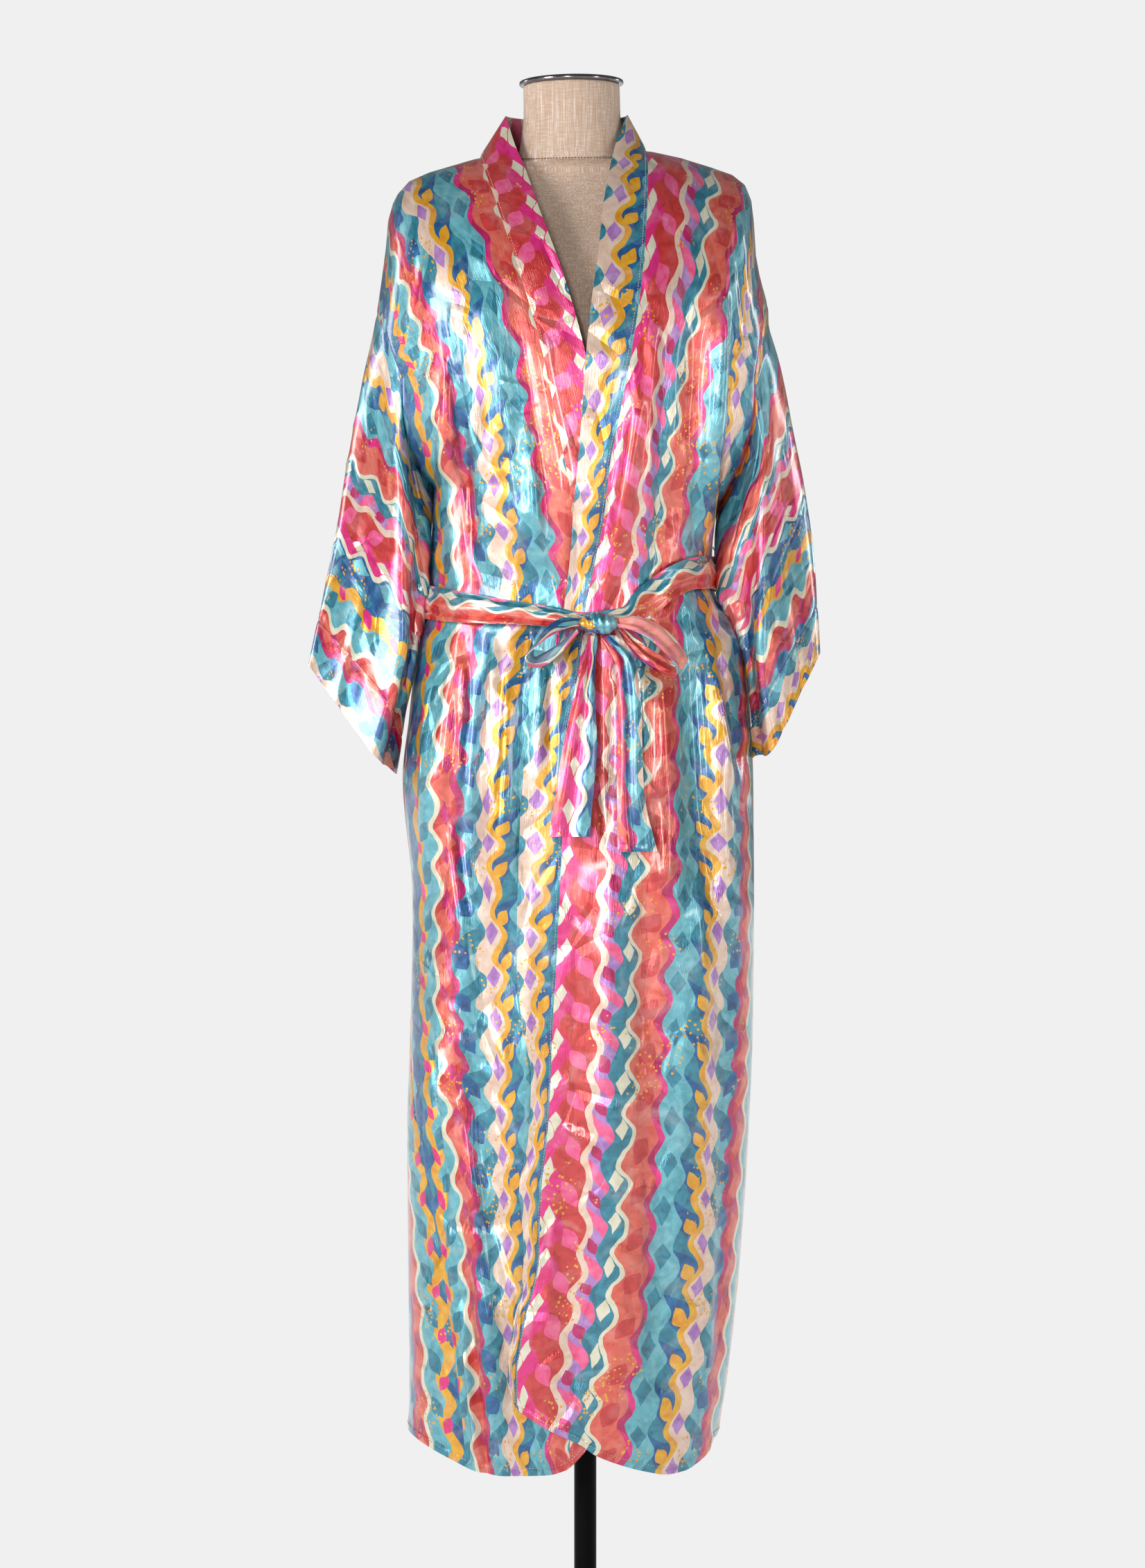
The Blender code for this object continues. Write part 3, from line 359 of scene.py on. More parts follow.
# Where each stripe starts in the repeat, in millimetres, its paint and the paint it turns to in each wave.
STRIPES = [(0, "coral", "coral"), (27, "pink", "pink"), (43, "ivory", "ivory"), (49, "blue", "blue"),
           (73, "teal", "blue"), (84, "mustard", "mustard"), (98, "aqua", "aqua"), (122, "ivory", "ivory"),
           (128, "salmon", "coral"), (146, "magenta", "magenta"), (154, "teal", "aqua"),
           (178, "beige", "beige"),
           (198, "mustard", "mustard"), (206, "blue", "teal"), (224, "aqua", "aqua"), (248, "magenta", "pink"),
           (256, "salmon", "salmon"), (284, "ivory", "ivory"), (290, "teal", "teal"), (308, "lilac", "rose"),
           (322, "beige", "beige")]
# Motifs: middle in the repeat, half width, half height, tilt in degrees, share of the wave, and paint. Tilted
# ones are leaves and upright ones lozenges.
MOTIFS = [(14, 9, 15, 32, 0.0, "rose"), (36, 6, 11, 0, 0.5, "ivory"), (61, 9, 15, 0, 0.25, "aqua"),
          (88, 6, 11, -30, 0.7, "pink"), (110, 9, 15, 34, 0.1, "teal"), (137, 7, 12, 0, 0.55, "magenta"),
          (166, 9, 14, -32, 0.3, "blue"), (188, 8, 13, 0, 0.8, "lilac"), (214, 7, 12, 30, 0.15, "mustard"),
          (236, 9, 14, 0, 0.6, "teal"), (270, 10, 15, -34, 0.0, "coral"), (299, 7, 12, 0, 0.4, "ivory"),
          (314, 6, 10, 30, 0.9, "magenta")]


def group(name, ins, outs):
    """An empty shader node group; returns the tree, its inputs and its output node."""
    made = bpy.data.node_groups.new(name, "ShaderNodeTree")
    for label, kind, value in ins:
        socket = made.interface.new_socket(name=label, in_out="INPUT", socket_type="NodeSocket" + kind)
        if value is not None:
            socket.default_value = value
    for label, kind in outs:
        made.interface.new_socket(name=label, in_out="OUTPUT", socket_type="NodeSocket" + kind)
    return made, made.nodes.new("NodeGroupInput").outputs, made.nodes.new("NodeGroupOutput").inputs


def in_repeat(tree, across):
    """Where a place across the cloth lies in the print's repeat."""
    return calc(tree, "MULTIPLY", calc(tree, "FRACT", calc(tree, "DIVIDE", across, REPEAT)), REPEAT)


def wavy_print():
    """The print as a group: cloth coordinates in metres and the share of pale wash in, colour out."""
    tree, given, put = group("wavy_print", [("Cloth", "Vector", None), ("Wash", "Float", 0.2)],
                             [("Colour", "Color")])
    cloth = given["Cloth"]
    drift = add(tree, "ShaderNodeTexNoise", Vector=cloth, Scale=16.0, Detail=3.0).outputs[1]
    part = add(tree, "ShaderNodeSeparateXYZ", Vector=cloth).outputs
    sway = add(tree, "ShaderNodeSeparateColor", Color=drift).outputs
    wide = calc(tree, "ADD", part["X"], calc(tree, "MULTIPLY_ADD", sway[0], 0.018, -0.009))
    long = calc(tree, "ADD", part["Y"], calc(tree, "MULTIPLY_ADD", sway[1], 0.03, -0.015))
    beat = calc(tree, "SINE", calc(tree, "MULTIPLY", long, 2 * pi / WAVE_LENGTH))
    across = calc(tree, "SINE", calc(tree, "MULTIPLY", wide, 2 * pi / SWAY_LENGTH))
    swing = calc(tree, "MULTIPLY_ADD", across, SWAY_SWING, WAVE_SWING)
    flat = in_repeat(tree, wide)
    lap = in_repeat(tree, calc(tree, "ADD", wide, calc(tree, "MULTIPLY", beat, swing)))
    ramps = []
    for which in (1, 2):
        ramp = add(tree, "ShaderNodeValToRGB", Fac=calc(tree, "DIVIDE", lap, REPEAT))
        ramp.color_ramp.interpolation = "CONSTANT"
        stops = ramp.color_ramp.elements
        while len(stops) < len(STRIPES):
            stops.new(0.5 + len(stops) * 0.01)
        for stop, stripe in zip(stops, STRIPES):
            stop.position = stripe[0] * 0.001 / REPEAT
        for stop, stripe in zip(stops, STRIPES):
            stop.color = linear(PAINTS[stripe[which]])
        ramps.append(ramp.outputs[0])
    turn = calc(tree, "SINE", calc(tree, "ADD", calc(tree, "MULTIPLY", long, 2 * pi / WAVE_LENGTH),
                                   calc(tree, "MULTIPLY", lap, 2 * pi / TURN_LENGTH)))
    colour = blend_colour(tree, calc(tree, "GREATER_THAN", turn, 0.25), *ramps)
    for middle, half_wide, half_long, tilt, share, paint in MOTIFS:
        beside = calc(tree, "SUBTRACT", flat, middle * 0.001 - WAVE_SWING * sin(2 * pi * share))
        turn = calc(tree, "FRACT", calc(tree, "MULTIPLY_ADD", long, 1 / WAVE_LENGTH, share))
        along = calc(tree, "MULTIPLY_ADD", turn, WAVE_LENGTH, -WAVE_LENGTH / 2)
        c, s = cos(radians(tilt)), sin(radians(tilt))
        u = calc(tree, "ADD", calc(tree, "MULTIPLY", beside, c), calc(tree, "MULTIPLY", along, s))
        v = calc(tree, "SUBTRACT", calc(tree, "MULTIPLY", along, c), calc(tree, "MULTIPLY", beside, s))
        far_u = calc(tree, "DIVIDE", calc(tree, "ABSOLUTE", u), half_wide * 0.001)
        far_v = calc(tree, "DIVIDE", calc(tree, "ABSOLUTE", v), half_long * 0.001)
        if tilt:
            far_v = calc(tree, "POWER", far_v, 1.7)
        far = calc(tree, "ADD", far_u, far_v)
        colour = blend_colour(tree, calc(tree, "LESS_THAN", far, 1.0), colour, linear(PAINTS[paint]))
    cells = add(tree, "ShaderNodeTexVoronoi", Vector=cloth, Scale=190.0)
    dots = calc(tree, "MULTIPLY", calc(tree, "LESS_THAN", cells.outputs["Distance"], 0.27),
                calc(tree, "GREATER_THAN", cloud(tree, cloth, 13.0, 1.0), 0.585))
    colour = blend_colour(tree, dots, colour, linear(PAINTS["mustard"]))
    deep = mapped(tree, cloud(tree, cloth, 85.0, 5.0, Distortion=0.7), 0.0, 0.75, From_Min=0.38, From_Max=0.7)
    colour = blend_colour(tree, deep, colour, blend_colour(tree, 1.0, colour, colour, "MULTIPLY"))
    pale = mapped(tree, cloud(tree, cloth, 30.0, 4.0, Distortion=1.2), 0.0, given["Wash"], From_Min=0.52,
                  From_Max=0.78)
    tree.links.new(blend_colour(tree, pale, colour, linear((240, 236, 230))), put["Colour"])
    return tree


def crushed():
    """Crumple marks and fine threads of crisp satin as a group: a normal and a roughness for the cloth."""
    tree, given, put = group("crushed_satin", [("Cloth", "Vector", None), ("Marks", "Float", 1.0)],
                             [("Normal", "Vector"), ("Sheen", "Float")])
    cloth = given["Cloth"]
    tall = add(tree, "ShaderNodeMapping", Vector=cloth, Scale=(1.0, 0.55, 1.0)).outputs[0]
    ridge = add(tree, "ShaderNodeTexNoise", {"noise_type": "RIDGED_MULTIFRACTAL"}, Vector=tall, Scale=25.0,
                Detail=3.0, Roughness=0.42, Distortion=0.6).outputs[0]
    facet = add(tree, "ShaderNodeTexVoronoi", {"feature": "DISTANCE_TO_EDGE"}, Vector=tall, Scale=23.0)
    crease = mapped(tree, facet.outputs["Distance"], 0.0, 1.0, From_Min=0.0, From_Max=0.12)
    patch = cloud(tree, cloth, 9.0, 2.0)
    where = add(tree, "ShaderNodeMapRange", {"interpolation_type": "SMOOTHSTEP"}, Value=patch, From_Min=0.42,
                From_Max=0.62, To_Min=0.25, To_Max=1.0).outputs[0]
    rough = calc(tree, "MULTIPLY", calc(tree, "ADD", calc(tree, "MULTIPLY", ridge, 0.6),
                                       calc(tree, "MULTIPLY", crease, 0.22)), where)
    threads = cloud(tree, add(tree, "ShaderNodeMapping", Vector=cloth, Scale=(1300.0, 40.0, 1.0)).outputs[0],
                    1.0, 2.0)
    height = calc(tree, "ADD", calc(tree, "MULTIPLY", rough, given["Marks"]),
                  calc(tree, "MULTIPLY", threads, 0.05))
    tree.links.new(add(tree, "ShaderNodeBump", Height=height, Strength=1.0, Distance=0.0072).outputs[0],
                   put["Normal"])
    tree.links.new(mapped(tree, threads, 0.19, 0.3), put["Sheen"])
    return tree


PRINT, CRUSHED = wavy_print(), crushed()


def satin(name, paler):
    """Printed satin, its print made paler by a share; returns the material, its shader and the crush."""
    made, tree, shader = look(name)
    cloth = add(tree, "ShaderNodeUVMap", {"uv_map": "cloth"}).outputs[0]
    inked = add(tree, "ShaderNodeGroup", {"node_tree": PRINT}, Cloth=cloth, Wash=0.2)
    crush = add(tree, "ShaderNodeGroup", {"node_tree": CRUSHED}, Cloth=cloth, Marks=1.0)
    finish_look(tree, shader, Normal=crush.outputs["Normal"],
                Base_Color=blend_colour(tree, paler, inked.outputs["Colour"], linear((226, 222, 216))))
    return made, tree, shader, crush


SATIN, tree, shader, crush = satin("printed_satin", 0.0)
finish_look(tree, shader, Roughness=crush.outputs["Sheen"], Metallic=0.4, Coat_Weight=0.8)
shader.inputs["Coat Roughness"].default_value = 0.12
shader.inputs["Specular IOR Level"].default_value = 1.0
REVERSE, tree, shader, crush = satin("satin_reverse", 0.22)
shader.inputs["Roughness"].default_value = 0.55
shader.inputs["Specular IOR Level"].default_value = 0.4


# Body of the coat: two fronts and a back cut from the print, joined at the shoulders and sides, with a
# two-part neckband round the neck and down both front edges. The wearer's left front laps over the right.
SHEET_THICK, BAND_THICK, BAND_WIDTH = 0.7, 1.2, 45.0
BODY_POWER = 2.4
FINE = 7
FAN_ROWS, ARM_ROWS = 6 * FINE, 6 * FINE
CHEST_Z, UNDERARM_Z, WAIST_Z = 1400.0, 1271.0, 1150.0
GATHER_FOOT_Z, HEM_START_Z, HEM_BASE_Z, BACK_HEM_Z = 1090.0, 420.0, 220.0, 250.0
WAIST_ROWS, SKIRT_ROWS = 38, 130
HEM_STEPS = np.concatenate([np.linspace(0, 0.9, 37), np.linspace(0.9, 1.0, 11)[1:]])
FRONT_COLUMNS, BACK_COLUMNS, NECK_ROWS, BAND_COLUMNS = 84, 130, 20, 12
FRONT_SAMPLES, BACK_SAMPLES = 300, 500
LAP, LAP_FADE = 5.0, (70, 130)
NECK_RISE = {-1: 46.0, 1: 39.0}
NECK_X, NECK_DEPTH, NECK_BACK_Z, COLLAR_DEPTH, COLLAR_Z = -14.0, 74.0, 1650.0, 60.5, 1693.0
BACK_MIDDLE_X = -8.0
GATHER_PITCH, GATHER_HEIGHT, GATHER_REACH = 48.0, 2.4, 62.0
# Body sections by height: the side silhouettes and the depths of the front and the back.
BODY = table("z left right front back", [
    (200, -194, 142, 128, 118), (290, -193, 155, 129, 120), (430, -194, 169, 130, 122),
    (577, -195, 179, 131, 124), (713, -191, 184, 132, 126), (832, -189, 185, 133, 128),
    (967, -200, 184, 133, 128), (1034, -193, 181, 128, 122), (1073, -189, 177, 123, 115),
    (1113, -183, 172, 116, 105), (1143, -177, 158, 111, 99), (1174, -172, 141, 111, 97),
    (1209, -170, 139, 116, 101), (1259, -166, 144, 124, 108), (1283, -165, 150, 127, 111),
    (1400, -205, 190, 130, 116)])
# Shoulder seams from the neck to the top of each armhole, and the neck curve of the back to its middle.
SHOULDER = {
    -1: table("x z", [(-116, 1646.6), (-137, 1640.5), (-171, 1630.6), (-193, 1620.8), (-205.5, 1607),
                      (-211, 1596), (-216, 1578), (-219, 1545), (-224, 1508), (-229, 1474)]),
    1: table("x z", [(67, 1654), (105, 1646), (135, 1637), (161, 1628), (175, 1617), (182, 1600),
                     (185, 1575), (187, 1540), (191, 1518), (200, 1485)])}
# The armhole below the chest line, front and back, down to the underarm point.
ARMHOLE = {
    -1: table("z x front back", [(1400, -200, 62, 60), (1375, -200, 60, 58), (1340, -195, 49, 46),
                                 (1308, -182, 28, 26), (1283, -165, 0, 0)]),
    1: table("z x front back", [(1400, 185, 60, 58), (1370, 185, 58, 56), (1328, 178, 47, 44),
                                (1288, 162, 27, 25), (1259, 144, 0, 0)])}
# Band seams, where a front meets the neckband, and the free edges of the band.
BAND_SEAM = {
    -1: table("z x", [(300, -17), (900, -17), (1030, -8), (1140, 6), (1266, -14.7), (1304, -22), (1368, -35),
                      (1434, -49), (1506, -70), (1562, -88), (1599, -100), (1646.6, -116)]),
    1: table("z x", [(292, -73), (329, -69), (378, -64), (407, -58), (451, -50), (518, -48), (584, -41),
                     (642, -37.5), (707, -35), (772, -31), (838, -28), (900, -25), (1000, -22), (1080, -8),
                     (1148, 0), (1241, 18.7), (1303, 26), (1340, 33.5), (1434, 51), (1517, 62), (1584, 66.5),
                     (1631, 68), (1654, 67)])}
BAND_FREE = {
    -1: table("z x", [(300, 30), (900, 30), (1030, 39), (1140, 46), (1266, 33), (1304, 25), (1368, 13),
                      (1420, 0), (1467, -12), (1519, -28), (1578, -49), (1633, -67), (1658, -77), (1693, -87)]),
    1: table("z x", [(292, -83), (378, -75), (410, -70), (464, -66), (525, -71), (584, -61), (648, -58),
                     (707, -68), (772, -73.5), (924, -70), (981, -65), (1033, -48), (1080, -38), (1107, -30),
                     (1192, -18), (1254, -13), (1330, -6), (1414, 0), (1475, 6), (1525, 13), (1575, 18),
                     (1620, 25), (1658, 33), (1693, 46)])}
# The side seams leave the silhouette low down, where the back wraps forward on the right side.
SIDE_TURN = table("z degrees", [(200, 57), (290, 52), (420, 43), (560, 28), (680, 9), (760, 0), (1400, 0)])
# Hem heights across each panel, where the lower front corners are rounded.
HEM = {
    -1: table("x z", [(-193, 256), (-165, 243), (-142, 233), (-120, 224), (-82, 220), (-42, 221),
                      (-22, 226), (-6, 240), (10, 262), (24, 292), (32, 330)]),
    1: table("x z", [(-84, 318), (-73, 292), (-61, 283), (-36, 268), (-4, 253), (10, 243), (43, 230),
                     (68, 223), (88, 219), (107, 221), (120, 227), (134, 238), (139, 250)])}
# Soft folds of the fronts as seen from in front: a line from top to bottom, its width and its height.
FRONT_FOLDS = table("x_top z_top x_low z_low width height", [
    (-150, 1450, -160, 1240, 16, 9), (-122, 1420, -128, 1200, 14, -6), (-106, 1500, -100, 1240, 18, 5),
    (-62, 1330, -58, 1190, 12, 5), (60, 1420, 34, 1200, 16, 6), (100, 1330, 88, 1210, 14, -5),
    (146, 1500, 132, 1230, 12, 8), (120, 1460, 112, 1230, 14, -5), (166, 1400, 150, 1270, 10, -4),
    (-150, 1110, -170, 880, 15, 7), (-118, 1110, -132, 840, 16, -6), (-90, 1110, -92, 820, 17, 7),
    (80, 1110, 92, 800, 16, 6), (112, 1120, 128, 820, 16, -6), (140, 1130, 158, 800, 14, 7),
    (-150, 900, -146, 560, 24, 5), (-108, 840, -104, 420, 24, -6), (30, 880, 36, 330, 26, 6),
    (70, 840, 76, 300, 24, -5), (118, 860, 116, 300, 26, 7), (152, 800, 140, 330, 18, -5),
    (-128, 600, -92, 225, 13, 8), (-20, 560, -14, 290, 22, -4)])
BACK_FOLDS = table("x_top z_top x_low z_low width height", [
    (-120, 1500, -112, 1200, 22, 7), (-60, 1480, -52, 1200, 24, -5), (40, 1490, 34, 1200, 24, 6),
    (105, 1470, 96, 1210, 20, -6), (-140, 1110, -160, 500, 24, 8), (-90, 1110, -96, 300, 26, -7),
    (-40, 1120, -46, 260, 26, 8), (12, 1110, 8, 300, 28, -7), (60, 1110, 68, 280, 26, 8),
    (112, 1100, 128, 330, 24, -7), (150, 1000, 150, 420, 18, 6)])


def run_of(line):
    """Length along a polyline at each of its points."""
    return np.concatenate(([0], np.cumsum(np.linalg.norm(np.diff(line, axis=0), axis=-1))))


def even(points, count):
    """Resample a polyline to evenly spaced points."""
    length = run_of(points)
    at = np.linspace(0, length[-1], count)
    return np.stack([np.interp(at, length, points[:, k]) for k in range(3)], axis=1)


def folds(rows, x, z):
    """Sum of the soft folds of a table at places seen from in front."""
    total = np.zeros_like(x)
    for xt, zt, xl, zl, width, height in zip(*rows.values()):
        line = xt + (xl - xt) * np.clip((zt - z) / (zt - zl), -0.2, 1.2)
        fade = (1 - ease(zt - 80, zt + 30, z)) * ease(zl - 45, zl + 70, z)
        total += height * fade * np.exp(-((x - line) / width) ** 2)
    return total


def relief(x, z, back=False):
    """How far the cloth stands out from the smooth body section: its folds and the sash's gathers."""
    rows = BACK_FOLDS if back else FRONT_FOLDS
    reach = np.exp(-(np.abs(z - WAIST_Z - 4) / GATHER_REACH) ** 2)
    gather = GATHER_HEIGHT * reach * np.sin(2 * pi * (x + 9 * np.sin(x / 37.0)) / GATHER_PITCH)
    sides = ease(0, 26, x - column(BODY, "z", "left", z)) * ease(0, 26, column(BODY, "z", "right", z) - x)
    return (folds(rows, x, z) + gather) * sides


def section(angle, z):
    """Point of the body section: 0 at the right side, half a turn at the left, the front between."""
    left, right = column(BODY, "z", "left", z), column(BODY, "z", "right", z)
    depth = np.where(np.sin(angle) > 0, column(BODY, "z", "front", z), column(BODY, "z", "back", z))
    c, s = np.cos(angle), np.sin(angle)
    x = (left + right) / 2 - (right - left) / 2 * np.sign(c) * np.abs(c) ** (2 / BODY_POWER)
    y = -depth * np.sign(s) * np.abs(s) ** (2 / BODY_POWER)
    return x, y


def angle_at(x, z):
    """The section angle of the front at a given x."""
    left, right = column(BODY, "z", "left", z), column(BODY, "z", "right", z)
    c = np.clip(((left + right) / 2 - x) / ((right - left) / 2), -1, 1)
    return np.arccos(np.sign(c) * np.abs(c) ** (BODY_POWER / 2))


def level_row(z, start, end, count, facing):
    """One level row of a panel between two x places on the front (facing -1) or the back (1)."""
    side = -1 if start[0] < end else 1
    depth = column(BODY, "z", "front" if facing < 0 else "back", z)
    middle = (column(BODY, "z", "left", z) + column(BODY, "z", "right", z)) / 2
    reach = abs(start[0] - middle) / (1 - min(0.98, abs(start[1]) / depth) ** BODY_POWER) ** (1 / BODY_POWER)
    first = np.arccos(min(1, abs(start[0] - middle) / reach) ** (BODY_POWER / 2))
    share = np.clip((end - middle) * side / reach, -1, 1)
    last = np.arccos(np.sign(share) * abs(share) ** (BODY_POWER / 2))
    angle = np.linspace(first, last, FRONT_SAMPLES)
    c = np.cos(angle)
    x = middle + side * reach * np.sign(c) * np.abs(c) ** (2 / BODY_POWER)
    y = facing * depth * np.sin(angle) ** (2 / BODY_POWER)
    return even(np.stack([x, y, np.full_like(x, z)], axis=1), count)


def lap_over(x):
    """How far what lies over the right front stands out, by x."""
    return LAP * (1 - ease(*LAP_FADE, x))


def lapped(points, side):
    """Move the part of the left front that lies over the right one out by the lap."""
    if side < 0:
        return points
    points = points.copy()
    points[..., 1] -= lap_over(points[..., 0])
    return points


def shoulder_line(side, count):
    """Shoulder seam from the armhole to the neck, evenly spaced."""
    rows = SHOULDER[side]
    line = np.stack([rows["x"], np.zeros_like(rows["x"]), rows["z"]], axis=1)[::-1]
    return even(line, count)


def fan(top, chest, rows):
    """Rows between the shoulder line and the chest row, rounding over the shoulder."""
    turn = np.linspace(0, pi / 2, rows + 1)[:, None]
    drop = 1 - np.cos(turn)
    forward = np.sin(turn) ** 1.1
    return np.stack([top[:, 0] + (chest[:, 0] - top[:, 0]) * drop,
                     top[:, 1] + (chest[:, 1] - top[:, 1]) * forward,
                     top[:, 2] + (chest[:, 2] - top[:, 2]) * drop], axis=2)


def armhole_point(side, z, facing):
    """Side edge of a panel between the chest line and the underarm."""
    return (column(ARMHOLE[side], "z", "x", z),
            facing * column(ARMHOLE[side], "z", "front" if facing < 0 else "back", z))


def arm_heights(side):
    """Heights of the rows from the chest line to the underarm."""
    return np.linspace(CHEST_Z, ARMHOLE[side]["z"].min(), ARM_ROWS + 1)


def skirt_heights(side):
    """Heights of the rows below the underarm, before the hem is shaped."""
    return np.concatenate([np.linspace(ARMHOLE[side]["z"].min(), GATHER_FOOT_Z, WAIST_ROWS + 1),
                           np.linspace(GATHER_FOOT_Z, HEM_START_Z, SKIRT_ROWS + 1)[1:],
                           (HEM_START_Z + (HEM_BASE_Z - HEM_START_Z) * HEM_STEPS)[1:]])


def front_grid(side):
    """Outer points of a front, columns from the side seam to the band seam, rows from shoulder to hem."""
    count = FRONT_COLUMNS + 1
    chest = level_row(CHEST_Z, armhole_point(side, CHEST_Z, -1), column(BAND_SEAM[side], "z", "x", CHEST_Z),
                      count, -1)
    upper = fan(shoulder_line(side, count), chest, FAN_ROWS)
    edge = column(BAND_SEAM[side], "z", "x", upper[:, -1, 2])
    upper[:, :, 0] += (edge - upper[:, -1, 0])[:, None] * np.linspace(0, 1, count) ** 2
    rows = [*upper]
    for z in arm_heights(side)[1:]:
        rows.append(level_row(z, armhole_point(side, z, -1), column(BAND_SEAM[side], "z", "x", z), count, -1))
    for z in skirt_heights(side)[1:]:
        turn = radians(column(SIDE_TURN, "z", "degrees", z)) if side < 0 else 0.0
        first = turn if side < 0 else pi
        last = angle_at(column(BAND_SEAM[side], "z", "x", z), z)
        x, y = section(np.linspace(first, last, FRONT_SAMPLES), z)
        rows.append(even(np.stack([x, y, np.full_like(x, z)], axis=1), count))
    return np.array(rows)


def hem_share(z):
    """How far down the hem's rows a height is, from 0 to 1."""
    return np.clip((HEM_START_Z - z) / (HEM_START_Z - HEM_BASE_Z), 0, 1)


def shape_hem(points, rows):
    """Draw the lowest rows of a grid to the hem's own height at each x."""
    points = points.copy()
    hem = smooth(points[..., 0], rows["x"], rows["z"])
    points[..., 2] += (hem - HEM_BASE_Z) * hem_share(points[..., 2])
    return points


def finish_front(points, side):
    """Add folds, the lap and the hem to points on a front."""
    points = shape_hem(points, HEM[side])
    upper_fade = 1 - ease(1480, 1600, points[..., 2])
    points[..., 1] -= relief(points[..., 0], points[..., 2]) * upper_fade
    return lapped(points, side)


def neck_curve(neck):
    """Back neck seam from the shoulder seam to the middle of the back."""
    turn = np.linspace(0, pi / 2, NECK_ROWS + 1)
    return np.stack([NECK_X + (neck[0] - NECK_X) * np.cos(turn), NECK_DEPTH * np.sin(turn),
                     neck[2] + (NECK_BACK_Z - neck[2]) * np.sin(turn)], axis=1)


def back_grid():
    """Outer points of the back, columns from the right side seam to the left, rows from shoulder to hem."""
    half = BACK_COLUMNS // 2
    tops = {}
    for side in (-1, 1):
        line = shoulder_line(side, half - NECK_ROWS + 1)
        tops[side] = np.vstack([line, neck_curve(line[-1])[1:]])
    top = np.vstack([tops[-1], tops[1][::-1][1:]])
    lines = []
    for z in np.linspace(CHEST_Z, UNDERARM_Z, ARM_ROWS + 1):
        pair = {}
        for side in (-1, 1):
            own = CHEST_Z + (z - CHEST_Z) * (CHEST_Z - ARMHOLE[side]["z"].min()) / (CHEST_Z - UNDERARM_Z)
            pair[side] = level_row(own, armhole_point(side, own, 1), BACK_MIDDLE_X, half + 1, 1)
        lines.append(np.vstack([pair[-1], pair[1][::-1][1:]]))
    upper = fan(top, lines[0], FAN_ROWS)
    rows = [*upper, *lines[1:]]
    left_z, right_z = skirt_heights(-1), skirt_heights(1)
    for low, high in zip(left_z[1:], right_z[1:]):
        z = np.linspace(low, high, BACK_SAMPLES)
        turn = radians(column(SIDE_TURN, "z", "degrees", low))
        x, y = section(np.linspace(turn, -pi, BACK_SAMPLES), z)
        rows.append(even(np.stack([x, y, z], axis=1), BACK_COLUMNS + 1))
    points = np.array(rows)
    behind = ease(0, 40, points[..., 1])
    fade = 1 - ease(1500, 1600, points[..., 2])
    points[..., 1] += np.where(points[..., 1] >= 0,
                               relief(points[..., 0], points[..., 2], True) * behind * fade, 0)
    points[..., 1] -= np.where(points[..., 1] < 0, relief(points[..., 0], points[..., 2]), 0)
    front_hem = smooth(points[..., 0], HEM[-1]["x"], HEM[-1]["z"])
    back_hem = BACK_HEM_Z + 6 * np.sin(points[..., 0] / 60)
    hem = np.where(points[..., 1] < 0, front_hem, back_hem)
    toward_left = ease(60, 139, points[..., 0])
    hem = hem * (1 - toward_left) + BACK_HEM_Z * toward_left
    points[..., 2] += (hem - HEM_BASE_Z) * hem_share(points[..., 2])
    return points


def unit(vectors):
    """Vectors scaled to length one."""
    return vectors / (np.linalg.norm(vectors, axis=-1, keepdims=True) + 1e-12)


def normals_of(grid, ring=False):
    """Unit normals of a grid from the cells round each point, edges read on from the points inside."""
    whole = np.concatenate([grid, grid[:, :1]], axis=1) if ring else grid
    cell = unit(np.cross(whole[1:, 1:] - whole[:-1, :-1], whole[1:, :-1] - whole[:-1, 1:]))
    cell = np.concatenate([cell[:1], cell, cell[-1:]])
    if ring:
        cell = np.concatenate([cell[:, -1:], cell], axis=1)
    else:
        cell = np.concatenate([cell[:, :1], cell, cell[:, -1:]], axis=1)
    normal = unit(cell[1:, 1:] + cell[:-1, 1:] + cell[1:, :-1] + cell[:-1, :-1])
    if grid.shape[0] > 3:
        normal[0] = 2 * normal[1] - normal[2]
        normal[-1] = 2 * normal[-2] - normal[-3]
    if not ring and grid.shape[1] > 3:
        normal[:, 0] = 2 * normal[:, 1] - normal[:, 2]
        normal[:, -1] = 2 * normal[:, -2] - normal[:, -3]
    return unit(normal)


def share(first, second):
    """Normals that two pieces share along a seam; where they face apart, each keeps its own."""
    pull = np.clip(2 * np.sum(first * second, axis=-1, keepdims=True), 0, 1)
    return unit(first + pull * second), unit(second + pull * first)


def band_grid(side):
    """Outer points of half the neckband, from the middle of the back neck down to the hem."""
    seam = front_grid(side)[:, -1]
    across = np.linspace(0, 1, BAND_COLUMNS + 1)[:, None]
    neck_free = float(BAND_FREE[side]["x"][-1])
    rows = []
    for low, turn in zip(neck_curve(seam[0])[:0:-1], np.linspace(pi / 2, 0, NECK_ROWS + 1)):
        top = np.array([NECK_X + (neck_free - NECK_X) * cos(turn), COLLAR_DEPTH * sin(turn),
                        COLLAR_Z + 3 * sin(turn)])
        rows.append(low + (top - low) * across)
    for point in seam:
        drop = seam[0, 2] - point[2]
        free_z = point[2] + NECK_RISE[side] * np.exp(-drop / 9)
        free_x = float(column(BAND_FREE[side], "z", "x", free_z))
        level = min(point[2], CHEST_Z)
        own = float(section(angle_at(point[0], level), level)[1])
        reached = float(section(angle_at(free_x, level), level)[1])
        free = np.array([free_x, point[1] * reached / own, free_z])
        rows.append(point + (free - point) * across)
    points = np.array(rows)
    points[NECK_ROWS:] = finish_front(points[NECK_ROWS:], side)
    if side > 0:
        points[:NECK_ROWS, :, 1] -= np.linspace(0, LAP, NECK_ROWS, endpoint=False)[:, None]
    return points


